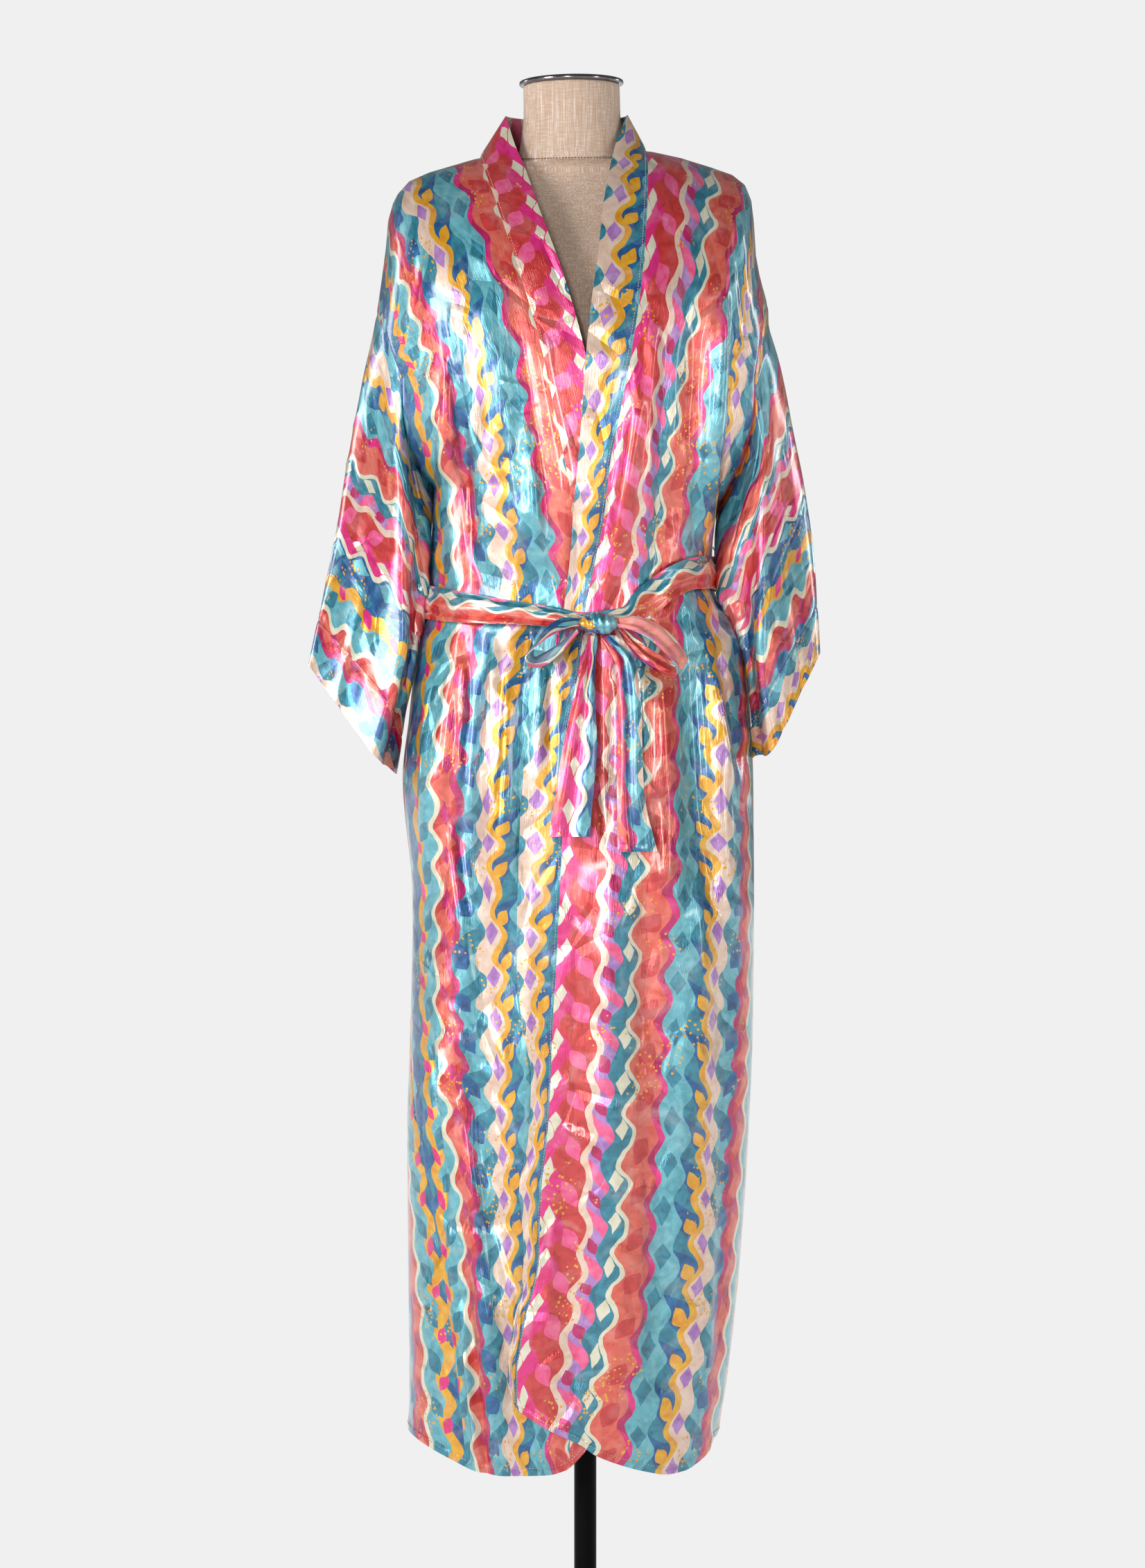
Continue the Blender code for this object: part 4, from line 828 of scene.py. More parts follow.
# Creases pressed and crumpled into the satin, seen from in front: both ends, width and height. A trough is
# negative. The second table is the back, seen from behind by the same x.
CREASES = [
    (-137, 1480, -104, 1170, 9, 4.2), (-151, 1470, -117, 1168, 6, -3.4), (-76, 1490, -30, 1196, 8, -3.6),
    (18, 1112, 19, 890, 9, -3.6), (-166, 700, -148, 500, 3.6, -4), (-159, 700, -141, 490, 5, 4.2),
    (-145, 500, -140, 366, 5, 3.4), (-179, 399, -146, 458, 3.4, 2.4), (-101, 487, -76, 402, 4, 2.4),
    (-118, 640, -112, 520, 5, -2.6), (60, 560, 52, 300, 8, 2.8), (116, 620, 108, 380, 8, -2.8),
    (-30, 520, -44, 360, 6, 2.6), (140, 560, 128, 300, 6, 2.8),
    (46, 1372, 9, 1168, 8, -4.2), (63, 1400, 24, 1170, 8, 4), (147, 1490, 133, 1200, 4.5, 4),
    (158, 1480, 143, 1200, 4.5, -3), (74, 1476, 62, 1200, 7, 3), (88, 1440, 76, 1200, 6, -3),
    (108, 1336, 98, 1190, 5, 3.2), (-62, 1340, -44, 1180, 7, 3.4), (-94, 1460, -66, 1190, 6, 3),
    (-100, 1105, -118, 930, 7, 3.6), (-86, 1105, -98, 930, 5, -3.2), (-47, 1108, -52, 960, 5, 3.2),
    (-36, 1108, -38, 960, 5, -3), (62, 1118, 60, 940, 8, 4), (48, 1118, 48, 900, 6, -3.6),
    (128, 1130, 158, 950, 5, 3.4), (139, 1134, 168, 960, 5, -3.2), (-168, 1096, -176, 900, 5, 3),
    (-150, 930, -118, 700, 7, 3), (-140, 930, -106, 700, 5, -2.6), (84, 930, 78, 700, 9, 3),
    (66, 900, 62, 640, 8, -3), (120, 900, 124, 640, 9, 3), (-58, 860, -66, 560, 9, 3), (26, 880, 22, 600, 9, 3),
    (-153, 1427, -166, 1267, 5, -3.2), (-111, 1267, -106, 1172, 4, -2.6), (-137, 1340, -129, 1190, 4, 1.8),
    (150, 1500, 146, 1275, 4, 2.8), (141, 1490, 138, 1300, 4, -2.4), (120, 1372, 108, 1230, 4, 1.8),
    (-96, 1430, -90, 1330, 4, 1.6), (-128, 1350, -104, 1322, 3.5, 1.5), (-84, 1310, -60, 1288, 3, -1.3),
    (-78, 1262, -46, 1236, 3, 1.4), (86, 1318, 112, 1290, 3, -1.4), (72, 1250, 96, 1226, 3.2, 1.5),
    (-150, 1090, -168, 980, 4.5, -2.4), (-128, 1110, -138, 940, 4.5, 2.2), (-104, 1112, -112, 1000, 4, -2.2),
    (-84, 1108, -88, 900, 4.5, 2.4), (-66, 1106, -70, 1010, 4, -2), (78, 1114, 84, 960, 4.2, 2.2),
    (98, 1122, 108, 1000, 4, -2.2), (120, 1130, 134, 900, 4.5, 2.4), (140, 1120, 154, 990, 4, -2),
    (-30, 593, 19, 574, 3.5, 3), (-145, 486, -78, 491, 3.2, -2.4), (-134, 402, -112, 204, 4.5, 5),
    (-126, 402, -104, 204, 3.4, -4.2), (-176, 770, -150, 742, 3, 1.4), (-140, 842, -100, 826, 3, -1.4),
    (88, 790, 128, 762, 3.2, 1.5), (60, 690, 84, 640, 3.2, 1.3), (134, 640, 112, 588, 3.5, -1.4),
    (-160, 640, -128, 604, 3.4, 1.4), (-96, 700, -80, 650, 3, -1.2), (20, 470, 64, 446, 3, 1.2),
    (96, 420, 130, 398, 3.2, -1.3), (-60, 330, -20, 352, 3.2, 1.2), (70, 300, 118, 322, 3, 1.2),
    (-120, 1560, -92, 1470, 5, 1.8), (104, 1580, 126, 1480, 5, 1.8), (-170, 1570, -190, 1440, 5, -2.2),
    (160, 1570, 176, 1430, 5, -2.2)]
BACK_CREASES = [
    (-130, 1480, -100, 1180, 9, 4), (-112, 1480, -86, 1180, 7, -3.4), (60, 1460, 44, 1180, 9, 4),
    (76, 1460, 60, 1180, 7, -3.4), (-6, 1440, 0, 1190, 8, -3.4), (140, 1480, 128, 1200, 6, 3.4),
    (-90, 1106, -104, 880, 8, 4), (-52, 1106, -56, 860, 8, -3.4), (8, 1108, 8, 820, 8, 4),
    (60, 1106, 64, 860, 8, -3.4), (106, 1104, 116, 840, 8, 4), (-140, 900, -134, 560, 9, 3),
    (0, 860, -6, 480, 10, -3), (70, 840, 78, 500, 9, 3),
    (-150, 1420, -120, 1200, 5, 2.4), (-96, 1400, -84, 1190, 5, -2.2), (-20, 1460, -16, 1260, 5, 1.8),
    (24, 1380, 20, 1190, 5, -2), (84, 1420, 70, 1200, 5, 2.2), (130, 1380, 112, 1210, 5, -2.4),
    (-150, 1100, -170, 900, 5, 2.4), (-116, 1104, -128, 860, 5, -2.2), (-70, 1106, -74, 930, 5, 2.2),
    (-20, 1108, -22, 880, 5, -2), (34, 1106, 36, 900, 5, 2.4), (84, 1104, 92, 840, 5, -2.2),
    (128, 1100, 144, 900, 5, 2.2), (-60, 720, -10, 692, 3.4, 1.5), (30, 560, 88, 590, 3.4, -1.4),
    (-120, 520, -76, 486, 3.2, 1.4), (110, 440, 60, 408, 3.2, 1.3), (-130, 340, -110, 262, 4.5, 2.2),
    (10, 360, 16, 262, 5, -2), (100, 350, 112, 262, 4.5, 2.2), (-60, 1560, 20, 1590, 4, -1.6),
    (40, 1330, 100, 1300, 3, 1.3), (-130, 1300, -80, 1280, 3, 1.3)]


def small_creases(seed, count):
    """Small uneven crumple marks from a fixed seed; most lie along the cloth, some across it."""
    rng = np.random.default_rng(seed)
    made = []
    for _ in range(count):
        x, z = rng.uniform(-185, 180), rng.uniform(250, 1600)
        along = rng.random() < (0.62 if z > 800 else 0.5)
        lean = radians(rng.uniform(-16, 16)) if along else radians(rng.uniform(35, 110))
        length = rng.uniform(26, 95) if along else rng.uniform(14, 44)
        height = rng.uniform(0.5, 1.25) * (1.15 if 850 < z < 1450 else 0.8) * rng.choice([-1, 1])
        made.append((x, z, x + length * sin(lean), z - length * cos(lean), rng.uniform(2.2, 4.6), height))
    return made


CREASE_DEPTH = 1.3
FRONT_MARKS = np.array(CREASES + small_creases(11, 190))
BACK_MARKS = np.array(BACK_CREASES + small_creases(23, 190))
# The sash across the front: its middle line and half width, from one side loop to the other.
SASH = table("x z half", [
    (-172, 1158, 18), (-140, 1152, 17), (-98, 1146, 14), (-60, 1142, 12), (-30, 1138, 11), (-6, 1134, 10),
    (36, 1139, 10), (52, 1149, 13), (72, 1161, 16), (100, 1178, 17), (122, 1187, 17), (140, 1190, 18)])


def sash_line(x, before):
    """Height of the sash's middle line: its own curve in front, and straight between its ends behind."""
    return np.where(before, smooth(x, SASH["x"], SASH["z"]),
                    np.interp(x, SASH["x"][[0, -1]], SASH["z"][[0, -1]]))


def crease_shape(px, pz, dx, dz, width, fade_from):
    """Height from 0 to 1 of one crease at places measured from its start; dx and dz are its run."""
    size = dx * dx + dz * dz
    along = (px * dx + pz * dz) / size
    beside = np.abs(px * dz - pz * dx) / size ** 0.5
    return ease(-0.12, 0.3, along) * (1 - ease(fade_from, 1.12, along)) * np.exp(-(beside / width) ** 1.5)


def creased(points, facing):
    """How far creases and soft unevenness lift the cloth at places seen from in front or behind."""
    x, z = points[..., 0], points[..., 2]
    total = np.zeros_like(x)
    for x0, z0, x1, z1, width, height in (FRONT_MARKS if facing < 0 else BACK_MARKS):
        near = (x > min(x0, x1) - 20) & (x < max(x0, x1) + 20)
        near = near & (z > min(z0, z1) - 30) & (z < max(z0, z1) + 30)
        shape = crease_shape(x[near] - x0, z[near] - z0, x1 - x0, z1 - z0, width, 0.68)
        total[near] += CREASE_DEPTH * height * shape
    total += 0.55 * folds(FRONT_FOLDS if facing < 0 else BACK_FOLDS, x, z) * (1 - ease(1480, 1600, z))
    wave = (0.7 * np.sin(x / 17.0 + 1.3 * np.sin(z / 61.0)) + 0.6 * np.sin(x / 29.0 + z / 83.0)
            + 0.4 * np.sin(z / 23.0 + 2.1 * np.sin(x / 41.0)))
    belt = sash_line(x, points[..., 1] < 0)
    held = ease(17, 40, np.abs(z - belt))
    gather = np.exp(-((z - belt) / 70.0) ** 2) * np.sin(x / 4.1 + 1.9 * np.sin(x / 19.0) + (z - belt) / 90.0)
    return (total + 0.6 * wave + 1.5 * gather) * held


def seam_dip(grid, columns=(), rows=(), depth=0.7, reach=3.5):
    """A soft groove along the given edge columns and rows, where the cloth is sewn to the next piece."""
    dip = np.zeros(grid.shape[:2])
    for c in columns:
        away = np.linalg.norm(grid - grid[:, [c]], axis=2)
        dip = np.maximum(dip, np.exp(-(away / reach) ** 2))
    for r in rows:
        away = np.linalg.norm(grid - grid[[r]], axis=2)
        dip = np.maximum(dip, np.exp(-(away / reach) ** 2))
    return -depth * dip


def hem_roll(grid, depth=8.0):
    """The turned and stitched hem: a little thicker below its stitches and drawn in small puckers."""
    away = np.linalg.norm(grid - grid[[-1]], axis=2)
    run = run_of(grid[-1])[None]
    pucker = np.sin(run / 1.9 + 1.7 * np.sin(run / 23.0)) * np.exp(-((away - depth) / 6.0) ** 2)
    return 0.45 * (1 - ease(depth - 1.5, depth + 0.5, away)) + 0.5 * pucker


def cloth_of(across, down):
    """Cloth coordinates in metres from places across and down the cloth in millimetres."""
    return np.stack(np.broadcast_arrays(across, down), axis=-1) * 0.001


def body_cloth(grid, from_column, offset, width):
    """Cloth coordinates of a body panel: stripes run down it, side by side from one of its columns."""
    steps = np.linalg.norm(np.diff(grid, axis=1), axis=2)
    across = np.concatenate([np.zeros((len(grid), 1)), np.cumsum(steps, axis=1)], axis=1)
    across -= across[:, [from_column]]
    whole = np.ptp(across, axis=1)[:, None]
    across = across * np.sqrt(width / whole)
    down = 1650.0 - grid[..., 2]
    chest = int(np.argmin(np.abs(grid[:, grid.shape[1] // 2, 2] - CHEST_Z)))
    climb = np.linalg.norm(np.diff(grid[:chest + 1], axis=0), axis=2).mean(axis=1)
    rise = np.concatenate([np.cumsum(climb[::-1])[::-1], [0]])[:, None]
    down[:chest + 1] = down[[chest]] - rise
    return cloth_of(across + offset, down)


def shell(name, grid, normal, cloth, replaces, thick=SHEET_THICK, ring=False):
    """A thin closed shell of cloth: the grid's points outside, the same moved in, joined at the rims."""
    if np.sum(np.cross(grid[1, 1] - grid[0, 0], grid[1, 0] - grid[0, 1]) * (normal[0, 0] + normal[1, 1])) < 0:
        grid, normal, cloth = grid[:, ::-1], normal[:, ::-1], cloth[:, ::-1]
    rows, cols = grid.shape[:2]
    half = rows * cols
    points = np.concatenate([grid.reshape(-1, 3), (grid - normal * thick).reshape(-1, 3)]) * 0.001
    last = cols if ring else cols - 1
    r, c = np.meshgrid(np.arange(rows - 1), np.arange(last), indexing="ij")
    r, c = r.ravel(), c.ravel()
    d = (c + 1) % cols
    spots = [(r, c), (r, d), (r + 1, d), (r + 1, c)]
    outer = np.stack([a * cols + b for a, b in spots], axis=1)
    chart = [(r, c), (r, c + 1), (r + 1, c + 1), (r + 1, c)]
    outer_uv = np.stack([cloth[a, b] for a, b in chart], axis=1)
    faces = [outer, outer[:, ::-1] + half]
    maps = [outer_uv, outer_uv[:, ::-1]]
    edges = []
    line = np.arange(last)
    edges.append(((np.zeros_like(line), line), (np.zeros_like(line), line + 1), True))
    edges.append(((np.full_like(line, rows - 1), line), (np.full_like(line, rows - 1), line + 1), False))
    if not ring:
        line = np.arange(rows - 1)
        edges.append(((line, np.zeros_like(line)), (line + 1, np.zeros_like(line)), False))
        edges.append(((line, np.full_like(line, cols - 1)), (line + 1, np.full_like(line, cols - 1)), True))
    for first, second, turn in edges:
        a, b = first[0] * cols + first[1] % cols, second[0] * cols + second[1] % cols
        ua, ub = cloth[first], cloth[second]
        rim, rim_uv = np.stack([a, b, b + half, a + half], axis=1), np.stack([ua, ub, ub, ua], axis=1)
        faces.append(rim[:, ::-1] if turn else rim)
        maps.append(rim_uv[:, ::-1] if turn else rim_uv)
    sides = np.concatenate([np.full(len(f), k == 1, int) for k, f in enumerate(faces)])
    return finished(name, points, np.concatenate(faces).tolist(), [SATIN, REVERSE],
                    np.concatenate(maps).reshape(-1, 2), sides, [replaces])


GRIDS = {"back": back_grid()}
TURNS = {"back": normals_of(GRIDS["back"])}
UNDER = FAN_ROWS + ARM_ROWS
for side, word in ((-1, "right"), (1, "left")):
    front, band = "front_" + word, "neckband_" + word
    GRIDS[front] = finish_front(front_grid(side), side)
    GRIDS[band] = band_grid(side)
    TURNS[front] = normals_of(GRIDS[front]) * side
    TURNS[band] = normals_of(GRIDS[band]) * side
    edge = 0 if side < 0 else -1
    for first, second in (((front, np.s_[:, -1]), (band, np.s_[NECK_ROWS:, 0])),
                          ((front, np.s_[UNDER:, 0]), ("back", np.s_[UNDER:, edge])),
                          ((front, np.s_[:UNDER, 0]), ("back", np.s_[:UNDER, edge]))):
        one, other = TURNS[first[0]][first[1]].copy(), TURNS[second[0]][second[1]].copy()
        TURNS[first[0]][first[1]], TURNS[second[0]][second[1]] = share(one, other)

LIFTED = {}
for name, grid in GRIDS.items():
    facing = np.where(grid[..., 1] < 0, -1, 1)
    lift = np.where(facing < 0, creased(grid, -1) * ease(0, 30, -grid[..., 1]), 0.0)
    if name == "back":
        lift = lift + creased(grid, 1) * ease(0, 30, grid[..., 1])
        lift = lift + seam_dip(grid, columns=(0, -1)) + hem_roll(grid)
    elif name.startswith("front"):
        lift = lift + seam_dip(grid, columns=(0, -1)) + seam_dip(grid, rows=(0,), depth=0.5) + hem_roll(grid)
    else:
        away = np.linalg.norm(grid - grid[:, [0]], axis=2)
        lift = lift * (1 - 0.2 * ease(0, 12, away)) + seam_dip(grid, columns=(0,)) + hem_roll(grid)
        lift = lift + 0.5 * ease(2, 5, away)
    LIFTED[name] = grid + TURNS[name] * lift[..., None]

CLOTH = {"back": body_cloth(GRIDS["back"], BACK_COLUMNS // 2, 40.0, 560.0),
         "front_right": body_cloth(GRIDS["front_right"], -1, 284.0, 270.0),
         "front_left": body_cloth(GRIDS["front_left"], -1, 373.0, 290.0)}
for word, offset in (("right", 0.0), ("left", 178.0)):
    grid = GRIDS["neckband_" + word]
    across = np.linspace(0, BAND_WIDTH, BAND_COLUMNS + 1)[None]
    across = BAND_WIDTH - across if word == "left" else across
    CLOTH["neckband_" + word] = cloth_of(across + offset, run_of(grid[:, BAND_COLUMNS // 2])[:, None])
for name, grid in LIFTED.items():
    slot_name, thick = ("band", BAND_THICK) if "band" in name else ("satin", SHEET_THICK)
    made = shell(name + "_satin", grid, TURNS[name], CLOTH[name], name, thick)


# Sleeves: wide, open at both ends and hanging from dropped shoulders, each with a separate cuff band sewn on.
# The print runs across them, in line with the slanted cuffs.
CUFF_START, CUFF_SEAM, CUFF_THICK = 0.87, 0.0005, 1.1
SLEEVE_ROWS, CUFF_ROWS = 100, 20
SLEEVE_ROUND = 480.0
# In front, a sleeve is drawn close to the body's side above these heights, with this room left.
SLEEVE_ROOM, SLEEVE_PULL = 1.5, 12.0
HELD_ABOVE = {-1: 1065, 1: 985}
# Where the print starts on each sleeve, along its cloth.
PRINT_START = {-1: 160.0, 1: 200.0}
# Sleeve sections from armhole to cuff: outer fold, front fold, underarm and back, each x, y and z.
SLEEVE = {
    -1: table("t ox oy oz fx fy fz ux uy uz bx by bz", [
        (0.33, -256, -2, 1340, -198, -68, 1272, -172.5, -28, 1180, -228, 74, 1275),
        (0.67, -277, -4, 1214, -198, -70, 1140, -191, -22, 1072, -242, 78, 1150),
        (1.00, -303, -6, 1091, -228, -54, 990, -208, 14, 972, -264, 58, 1042)]),
    1: table("t ox oy oz fx fy fz ux uy uz bx by bz", [
        (0.33, 226, -2, 1358, 193, -68, 1275, 147.5, -30, 1163, 204, 74, 1275),
        (0.67, 248, -4, 1231, 190, -72, 1145, 180, -22, 1068, 222, 78, 1150),
        (1.00, 257, -6, 1104, 202, -56, 996, 185, -20, 990, 232, 60, 1054)])}


def curve_through(four, t):
    """Place on a smooth curve between the middle two of four points."""
    a, b, c, d = four
    return 0.5 * (2 * b + (c - a) * t + (2 * a - 5 * b + 4 * c - d) * t ** 2
                  + (3 * b - a - 3 * c + d) * t ** 3)


def ring_through(corners):
    """Closed ring of a sleeve through its outer fold, front fold, underarm and back."""
    outer, front, under, back = (np.array(c, float) for c in corners)
    middle = (outer + front + under + back) / 4

    def halfway(a, b, bulge):
        """The middle of two corners, pushed out from the middle of the ring."""
        mid = (a + b) / 2
        away = mid - middle
        return mid + away / np.linalg.norm(away) * bulge

    knots = np.array([outer, halfway(outer, front, 9), front, halfway(front, under, 2), under,
                      halfway(under, back, 5), back, halfway(back, outer, 9)])
    spots = np.interp(np.arange(24 * FINE) / FINE, [0, 5, 9, 10.5, 12, 13.5, 15, 19, 24], np.arange(9))
    i = np.floor(spots).astype(int)
    return curve_through([knots[(i + k) % 8] for k in (-1, 0, 1, 2)], (spots - i)[:, None])


def armhole_of(panels, side, word):
    """Points or normals of the panels round an armhole, down the front and up the back."""
    edge = 0 if side < 0 else -1
    return np.vstack([panels["front_" + word][:UNDER + 1, 0], panels["back"][1:UNDER, edge][::-1]])


def sleeve_rings(side, word, at):
    """Sleeve rings between the armhole and the cuff's edge at the given shares of its length."""
    rows = SLEEVE[side]
    rings = [armhole_of(GRIDS, side, word)]
    for k in range(len(rows["t"])):
        corners = [[rows[name + axis][k] for axis in "xyz"] for name in "ofub"]
        rings.append(ring_through(corners))
    shares = np.concatenate(([0], rows["t"]))
    rings = np.array(rings)
    made = np.zeros((len(at), rings.shape[1], 3))
    for c in range(rings.shape[1]):
        for axis in range(3):
            made[:, c, axis] = smooth(at, shares, rings[:, c, axis])
    x, y, z = made[..., 0], made[..., 1], made[..., 2]
    left, right = column(BODY, "z", "left", z), column(BODY, "z", "right", z)
    deep = np.clip(np.abs(y) / column(BODY, "z", "front", z), 0, 0.98)
    edge = (left + right) / 2 + side * (right - left) / 2 * (1 - deep ** BODY_POWER) ** (1 / BODY_POWER)
    gap = np.clip((x - edge) * side - SLEEVE_ROOM, 0, None)
    low = HELD_ABOVE[side]
    held = ease(-78, -56, y) * (1 - ease(0, 22, y)) * ease(low - 30, low + 10, z)
    held = held * ease(0, 0.08, at)[:, None]
    made[..., 0] -= side * gap * np.exp(-(gap / SLEEVE_PULL) ** 2) * held
    return made


# Creases of the sleeves on their own cloth: both ends as millimetres round from the outer fold and down from
# the armhole, width and height. The front fold lies near 180 and the underarm near 240.
SLEEVE_CREASES = [
    (186, 110, 192, 480, 6, -4.2), (150, 90, 160, 480, 14, 3.0), (58, 200, 70, 470, 10, -1.6),
    (104, 60, 116, 420, 16, 1.8),
    (214, 40, 142, 130, 5, 2.6), (226, 74, 152, 190, 5, -2.6), (230, 130, 164, 240, 5, 2.4),
    (186, 40, 110, 96, 5, -1.8), (30, 90, 40, 260, 9, 1.2),
    (270, 60, 330, 150, 5, 2.4), (262, 110, 324, 230, 5, -2.4), (350, 120, 344, 420, 7, 2.4),
    (390, 80, 392, 380, 7, -2.2), (430, 140, 424, 460, 7, 2), (310, 240, 316, 450, 6, -1.8)]
SLEEVE_CREASE_DEPTH = 0.85


def sleeve_lift(around, along, seed):
    """How far creases and crumple marks lift a sleeve at places of its own cloth."""
    rng = np.random.default_rng(seed)
    marks = [(x0 + rng.uniform(-7, 7), y0, x1 + rng.uniform(-7, 7), *rest)
             for x0, y0, x1, *rest in SLEEVE_CREASES]
    for _ in range(50):
        x, y = rng.uniform(0, SLEEVE_ROUND), rng.uniform(40, 480)
        turn = rng.uniform(-0.6, 0.6) if rng.random() < 0.6 else rng.uniform(0.9, 1.9)
        length = rng.uniform(16, 60)
        marks.append((x, y, x + length * sin(turn), y + length * cos(turn), rng.uniform(2.4, 4.6),
                      rng.uniform(0.5, 1.2) * rng.choice([-1, 1])))
    total = np.zeros_like(around)
    for x0, y0, x1, y1, width, height in marks:
        shape = crease_shape(around - x0, along - y0, x1 - x0, y1 - y0, width, 0.7)
        total += SLEEVE_CREASE_DEPTH * height * shape
    total += 0.4 * np.sin(around / 29 + 1.2 * np.sin(along / 47)) + 0.4 * np.sin(along / 21 + around / 60)
    return total * ease(12, 60, along)


CUFFS = {}
for side, word in ((-1, "right"), (1, "left")):
    at = np.concatenate([np.linspace(0, CUFF_START - CUFF_SEAM, SLEEVE_ROWS),
                         np.linspace(CUFF_START + CUFF_SEAM, 1, CUFF_ROWS)])
    grid = sleeve_rings(side, word, at)
    turn = normals_of(grid, True) * side
    turn[0] = share(turn[0], armhole_of(TURNS, side, word))[0]
    along = run_of(grid.mean(axis=1))[:, None] + np.zeros((1, grid.shape[1]))
    steps = np.linalg.norm(np.diff(np.concatenate([grid, grid[:, :1]], axis=1), axis=1), axis=2)
    around = np.concatenate([np.zeros((len(grid), 1)), np.cumsum(steps, axis=1)], axis=1)
    around = around * (SLEEVE_ROUND / around[:, -1:])
    lift = sleeve_lift(around[:, :-1], along, 31 + side)
    moved = armhole_of(LIFTED, side, word) - armhole_of(GRIDS, side, word)
    lead = (moved - turn[0] * seam_dip(grid[:SLEEVE_ROWS], rows=(0,), reach=3.0)[0][:, None])[None]
    lead = lead * (1 - ease(0, 45, along))[..., None]
    cloth = cloth_of(np.concatenate([along, along[:, :1]], axis=1) + PRINT_START[side], around)
    for name, rows, thick in (("sleeve_", np.s_[:SLEEVE_ROWS], SHEET_THICK),
                              ("cuff_", np.s_[SLEEVE_ROWS:], CUFF_THICK)):
        part = grid[rows]
        dip = seam_dip(part, rows=(0,) if name == "cuff_" else (0, -1), reach=3.0)
        over = lift[rows] + dip + (0.35 if name == "cuff_" else 0.0) * (1 + dip / 0.7)
        points = part + turn[rows] * over[..., None] + lead[rows]
        made = shell(name + word + "_satin", points, turn[rows], cloth[rows], name + word, thick,
                     ring=True)
    CUFFS[word] = points


# Sash: one long strip of the satin round the waist, through a thread loop at each side and tied in a bow in
# front. On the right side a fold runs along it, so that it looks like two strands, the lower one narrow.
SASH_ROWS, SASH_COLUMNS, SASH_THICK, SASH_STAND = 19, 360, 0.9, 2.6
angle = np.arange(SASH_COLUMNS) * 2 * pi / SASH_COLUMNS
x = section(angle, WAIST_Z)[0]
before = np.sin(angle) > 0
middle = sash_line(x, before)
half = np.where(before, smooth(x, SASH["x"], SASH["half"]), SASH["half"][0])
rows, pleats = [], []
for part in np.linspace(1, -1, SASH_ROWS):
    z = middle + part * half
    x, y = section(angle, z)
    inside = np.minimum(x - column(BODY, "z", "left", z), column(BODY, "z", "right", z) - x)
    out = SASH_STAND + 1.8 * ease(60, 130, x) + (GATHER_HEIGHT + 1.8) * ease(0, 24, inside)
    over = np.where(before, lap_over(x), 0)
    rows.append(np.stack([x - np.cos(angle) * out, y - np.sin(angle) * out - over, z], axis=1))
    strand = np.exp(-((part + 0.56) / 0.1) ** 2) * np.where(before, 1 - ease(-40, -10, x), 0)
    roll = 1.2 * np.sin(part * 4.2 + 0.9 * np.sin(x / 40.0) + 1.2) + 0.6 * np.sin(part * 9 + x / 31.0)
    edge_roll = 0.8 * (part ** 8)
    pleats.append(0.6 + roll - 2.6 * strand - edge_roll)
grid = np.array(rows)
turn = -normals_of(grid, True)
if np.sum(turn[0] * (grid[0] - grid[0].mean(axis=0))) < 0:
    turn = -turn
line = grid[SASH_ROWS // 2]
cloth = cloth_of(np.linspace(44, 0, SASH_ROWS)[:, None] + 262.0, run_of(np.vstack([line, line[:1]]))[None])
sash = shell("sash_satin", grid + turn * np.array(pleats)[..., None], turn, cloth, "sash", SASH_THICK,
             ring=True)


for side, name in ((-1, "belt_loop_right"), (1, "belt_loop_left")):
    edge = "left" if side < 0 else "right"
    level = float(SASH["z"][0] if side < 0 else SASH["z"][-1])
    rows = []
    for part in np.linspace(1, -1, 41):
        z = level + 30 * part
        stand = 1.4 + (5.0 if side < 0 else 6.6) * (1 - ease(0.66, 1.0, abs(part)))
        x = float(column(BODY, "z", edge, z)) + side * stand
        rows.append([[x - side * 0.25 * (y / 3) ** 2, y, z] for y in np.linspace(-3, 3, 9)])
    grid = np.array(rows)
    outward = np.broadcast_to(np.array([side, 0.0, 0.0]), grid.shape)
    cloth = cloth_of(grid[..., 1] + 135.0, grid[..., 2])
    loop = shell(name + "_satin", grid, outward, cloth, name, 1.0)


# Bow: a knot wrapped in the strip, two loops that stand out to its sides and two tails with turned ends.
# The loops are ribbons along a path, and the tails hang down in front of the skirt.
RIBBON_ROWS, RIBBON_COLUMNS = 90, 15
TAIL_ROWS, TAIL_COLUMNS = 110, 21
# The knot's middle and its half sizes.
KNOT = (14.0, -137.2, 1131.0)
KNOT_SIZE = (21.0, 13.0, 12.0)
# Bow tails as seen from in front, by height: left and right edge and how far they stand forward.
TAIL = {
    "bow_tail_right": table("z left right forward", [
        (904, -39, 4, 26), (950, -32, 8, 27), (1000, -24, 12, 27), (1067, -8, 9.5, 27), (1118.7, 3, 13, 21.5)]),
    "bow_tail_left": table("z left right forward", [
        (888, 34, 76, 26), (953, 33, 62, 27), (1032, 34, 59, 27), (1087, 31, 54, 27),
        (1118.7, 15.5, 33, 21.5)])}


def between(points, count):
    """Evenly spaced points on a smooth curve through the given ones."""
    points = np.array(points, float)
    more = np.vstack([2 * points[0] - points[1], points, 2 * points[-1] - points[-2]])
    spot = np.linspace(0, len(points) - 1, count)
    i = np.minimum(spot.astype(int), len(points) - 2)
    return curve_through([more[i + k] for k in range(4)], (spot - i)[:, None])


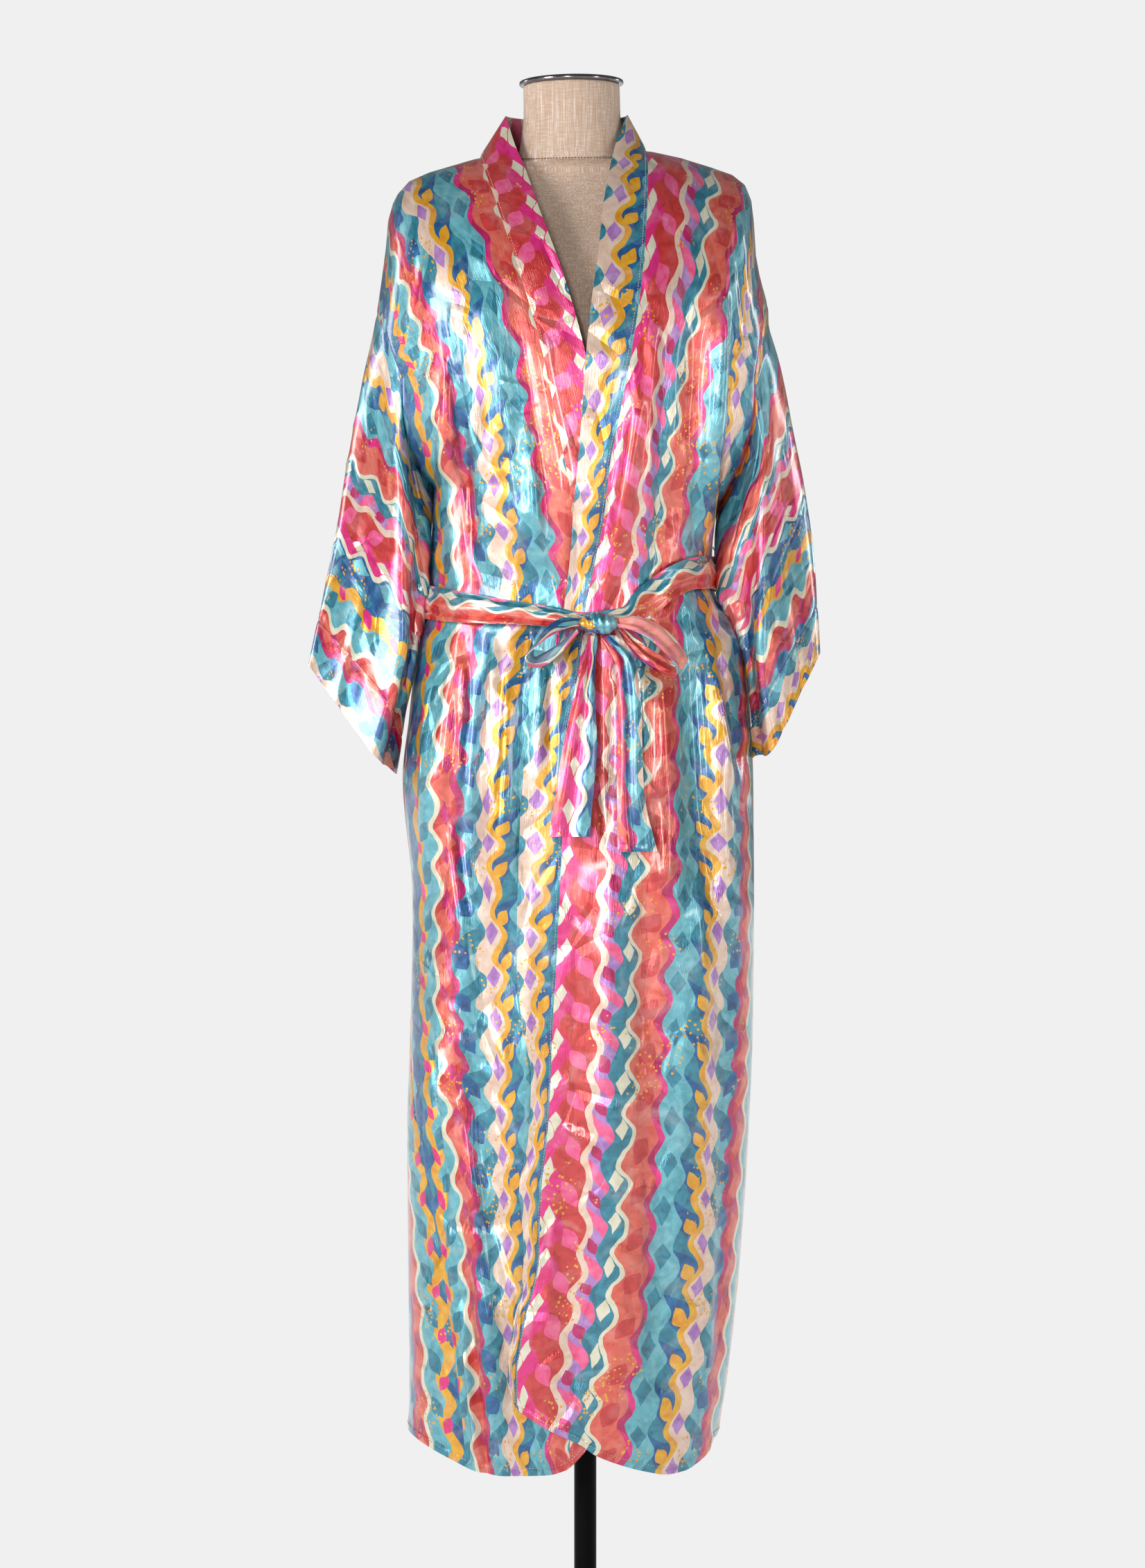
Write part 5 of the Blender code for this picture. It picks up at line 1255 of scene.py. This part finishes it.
def ribbon(name, path, across, offset, ripple):
    """A strip of the sash along a path; across holds half its width as a vector at each point of it."""
    line, half_width = between(path, RIBBON_ROWS), between(across, RIBBON_ROWS)
    part = np.linspace(-1, 1, RIBBON_COLUMNS)[None]
    grid = line[:, None] + half_width[:, None] * part[..., None]
    turn = normals_of(grid)
    end = np.minimum(np.linspace(0, 1, RIBBON_ROWS), np.linspace(1, 0, RIBBON_ROWS))[:, None]
    rise = ripple * (np.cos(part * 5.2 + 3 * end) * (0.4 + 0.9 * np.exp(-end / 0.16)))
    cloth = cloth_of(part * 17 + offset, run_of(line)[:, None])
    made = shell(name + "_satin", grid + turn * rise[..., None], turn, cloth, name, SASH_THICK)


turn_count, ring_count = 64, 41
rings = []
for part in np.linspace(-0.985, 0.985, ring_count):
    radius = (1 - part * part) ** 0.5
    turn_angle = np.arange(turn_count) * 2 * pi / turn_count
    wrap = (0.98 + 0.055 * np.sin(turn_angle + part * 7.5)
            + 0.09 * np.sin(part * 17 + 1.6 * np.sin(turn_angle + 0.6)))
    band = 1 + 0.05 * np.exp(-((part + 0.15 * np.sin(turn_angle)) / 0.34) ** 4)
    size = radius * np.minimum(wrap * band, 1.12)
    rings.append(np.stack([np.full(turn_count, KNOT[0] + KNOT_SIZE[0] * part),
                           KNOT[1] + KNOT_SIZE[1] * size * np.cos(turn_angle),
                           KNOT[2] + KNOT_SIZE[2] * size * np.sin(turn_angle)], axis=1))
points, faces = lofted(rings)
place = points[[corner for face in faces for corner in face]]
knot_uv = np.stack([place[:, 0] * 0.9 + 0.21, place[:, 2] * 1.4 - place[:, 1] * 0.8], axis=1)
knot = finished("bow_knot_satin", points, faces, [SATIN], knot_uv, None, ["bow_knot"])

ribbon("bow_loop_right",
       [(-7.0, -138, 1133), (-24, -142, 1131), (-42, -145, 1121), (-55, -145, 1108), (-61, -144, 1098),
        (-56, -143, 1090), (-44, -142, 1093), (-26, -141, 1106), (-7.6, -138, 1124)],
       [(0, 6, 3), (0, 7, 6), (2, 8, 7), (4, 8, 6), (4, 9, 4), (2, 8, 6), (-1, 8, 7), (-1, 7, 5),
        (0, 5, 2)], 60.0, 1.4)
ribbon("bow_loop_left",
       [(35.8, -141, 1132), (52, -149, 1131), (72, -154, 1122), (88, -155, 1108), (99, -152, 1094),
        (102, -147, 1084), (95, -143, 1081), (82, -142, 1086), (66, -141, 1096), (50, -139, 1110),
        (35.6, -138, 1125)],
       [(1, 2, 5), (2, 4, 8), (4, 6, 9), (5, 7, 9), (6, 7, 7), (6, 7, 6), (5, 7, 6), (4, 6, 7), (3, 5, 7),
        (2, 3, 6), (1, 1, 3)], 268.0, 1.9)
for name, rows in TAIL.items():
    part = np.linspace(0, 1, TAIL_COLUMNS)
    lines = []
    for z in np.linspace(rows["z"].max(), rows["z"].min(), TAIL_ROWS):
        left, right = column(rows, "z", "left", z), column(rows, "z", "right", z)
        depth = float(column(BODY, "z", "front", z)) + column(rows, "z", "forward", z)
        fold = 3.5 * smooth(part, np.linspace(0, 1, 5), np.array([0, 1, -0.4, 0.6, -0.6]))
        fold = fold * float(1 - ease(1070, 1118, z)) + 0.5 * np.sin(part * 7 + z / 27.0)
        across = left + (right - left) * part
        lines.append(np.stack([across, -(depth + fold), np.full(TAIL_COLUMNS, z)], axis=1))
    grid = np.array(lines)
    turn = normals_of(grid)
    turn = turn * np.sign(-turn[TAIL_ROWS // 2, TAIL_COLUMNS // 2, 1])
    grid = grid + turn * hem_roll(grid, 6.0)[..., None]
    run = run_of(grid[:, TAIL_COLUMNS // 2])
    cloth = cloth_of(part[None] * 42 + (140.0 if "left" in name else 20.0), run[:, None])
    tail = shell(name + "_satin", grid, turn, cloth, name, SASH_THICK)


# Stitching: short lockstitches in pale thread along the band seams, the hems and the cuff seams, and in brown
# thread round the seam of the form's neck. Each stitch is a small bead laid along its seam.
def stitch_nodes():
    """Geometry Nodes that lay one small rounded stitch at each step along the edges of a mesh."""
    tree = bpy.data.node_groups.new("lockstitch", "GeometryNodeTree")
    for label, kind in (("Seam", "Geometry"), ("Pitch", "Float"), ("Length", "Float"), ("Thickness", "Float"),
                        ("Thread", "Material")):
        tree.interface.new_socket(name=label, in_out="INPUT", socket_type="NodeSocket" + kind)
    tree.interface.new_socket(name="Stitches", in_out="OUTPUT", socket_type="NodeSocketGeometry")
    given, put = tree.nodes.new("NodeGroupInput").outputs, tree.nodes.new("NodeGroupOutput").inputs
    curve = add(tree, "GeometryNodeMeshToCurve")
    tree.links.new(given["Seam"], curve.inputs["Mesh"])
    steps = add(tree, "GeometryNodeCurveToPoints", {"mode": "LENGTH"})
    tree.links.new(curve.outputs[0], steps.inputs["Curve"])
    tree.links.new(given["Pitch"], steps.inputs["Length"])
    bead = tree.nodes.new("GeometryNodeMeshUVSphere")
    bead.inputs["Segments"].default_value = 6
    bead.inputs["Rings"].default_value = 4
    bead.inputs["Radius"].default_value = 1.0
    size = tree.nodes.new("ShaderNodeCombineXYZ")
    for axis, label in (("X", "Thickness"), ("Y", "Thickness"), ("Z", "Length")):
        tree.links.new(given[label], size.inputs[axis])
    laid = tree.nodes.new("GeometryNodeInstanceOnPoints")
    tree.links.new(steps.outputs["Points"], laid.inputs["Points"])
    tree.links.new(bead.outputs["Mesh"], laid.inputs["Instance"])
    tree.links.new(steps.outputs["Rotation"], laid.inputs["Rotation"])
    tree.links.new(size.outputs[0], laid.inputs["Scale"])
    real = tree.nodes.new("GeometryNodeRealizeInstances")
    tree.links.new(laid.outputs[0], real.inputs[0])
    dyed = tree.nodes.new("GeometryNodeSetMaterial")
    tree.links.new(real.outputs[0], dyed.inputs["Geometry"])
    tree.links.new(given["Thread"], dyed.inputs["Material"])
    tree.links.new(dyed.outputs[0], put["Stitches"])
    return tree


THREAD, tree, shader = look("pale_thread")
place = add(tree, "ShaderNodeTexCoord").outputs["Object"]
ply = cloud(tree, place, 700.0, 2.0)
finish_look(tree, shader, Roughness=0.6,
            Base_Color=blend_colour(tree, ply, linear((206, 150, 150)), linear((240, 214, 200))))
BROWN_THREAD, tree, shader = look("brown_thread")
finish_look(tree, shader, Roughness=0.8, Base_Color=linear((84, 52, 38)))
STITCHES = stitch_nodes()
STITCH_PITCH, STITCH_LENGTH = 0.0034, 0.0012
HEM_STITCH_ROW = -5
STITCH_PROUD = 0.2


def stitched(name, lines, thread=THREAD, thickness=0.0003):
    """Stitches along polylines given in millimetres, as one plain mesh."""
    points, edges = [], []
    for line in lines:
        start = len(points)
        points += (line * 0.001).tolist()
        edges += [(start + k, start + k + 1) for k in range(len(line) - 1)]
    mesh = bpy.data.meshes.new(name + "_line")
    mesh.from_pydata(points, edges, [])
    made = bpy.data.objects.new(name + "_line", mesh)
    SCENE.collection.objects.link(made)
    sewing = made.modifiers.new("stitches", "NODES")
    sewing.node_group = STITCHES
    values = {"Pitch": STITCH_PITCH, "Length": STITCH_LENGTH, "Thickness": thickness, "Thread": thread}
    for item in STITCHES.interface.items_tree:
        if item.item_type == "SOCKET" and item.in_out == "INPUT" and item.name in values:
            sewing[item.identifier] = values[item.name]
    bpy.context.view_layer.update()
    whole = made.evaluated_get(bpy.context.evaluated_depsgraph_get())
    plain = bpy.data.meshes.new_from_object(whole)
    bpy.data.objects.remove(made, do_unlink=True)
    plain.name = name
    sewn = bpy.data.objects.new(name, plain)
    SCENE.collection.objects.link(sewn)
    plain.shade_smooth()
    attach(sewn, "root")


def hem_line(name):
    """The line of the stitches above a panel's hem, just proud of the cloth."""
    return LIFTED[name][HEM_STITCH_ROW] + TURNS[name][HEM_STITCH_ROW] * STITCH_PROUD


def band_line(name):
    """The line of the stitches beside a neckband's seam, between its first two columns."""
    grid = LIFTED[name]
    return grid[:, 0] + (grid[:, 1] - grid[:, 0]) * 0.75 + TURNS[name][:, 0] * STITCH_PROUD


for word in ("right", "left"):
    band, front = "neckband_" + word, "front_" + word
    stitched("band_stitches_" + word, [band_line(band)])
    stitched("hem_stitches_" + word, [hem_line(front), hem_line(band)])
    ring = CUFFS[word][1]
    ring = ring + unit(ring - ring.mean(axis=0)) * 0.25
    stitched("cuff_stitches_" + word, [np.vstack([ring, ring[:1]])])
stitched("hem_stitches_back", [hem_line("back")])
NECK_STITCH_Z = 1652.0
ring = form_ring(NECK, NECK_STITCH_Z)
stitched("neck_seam_stitches", [np.vstack([ring, ring[:1]])], BROWN_THREAD, 0.0006)
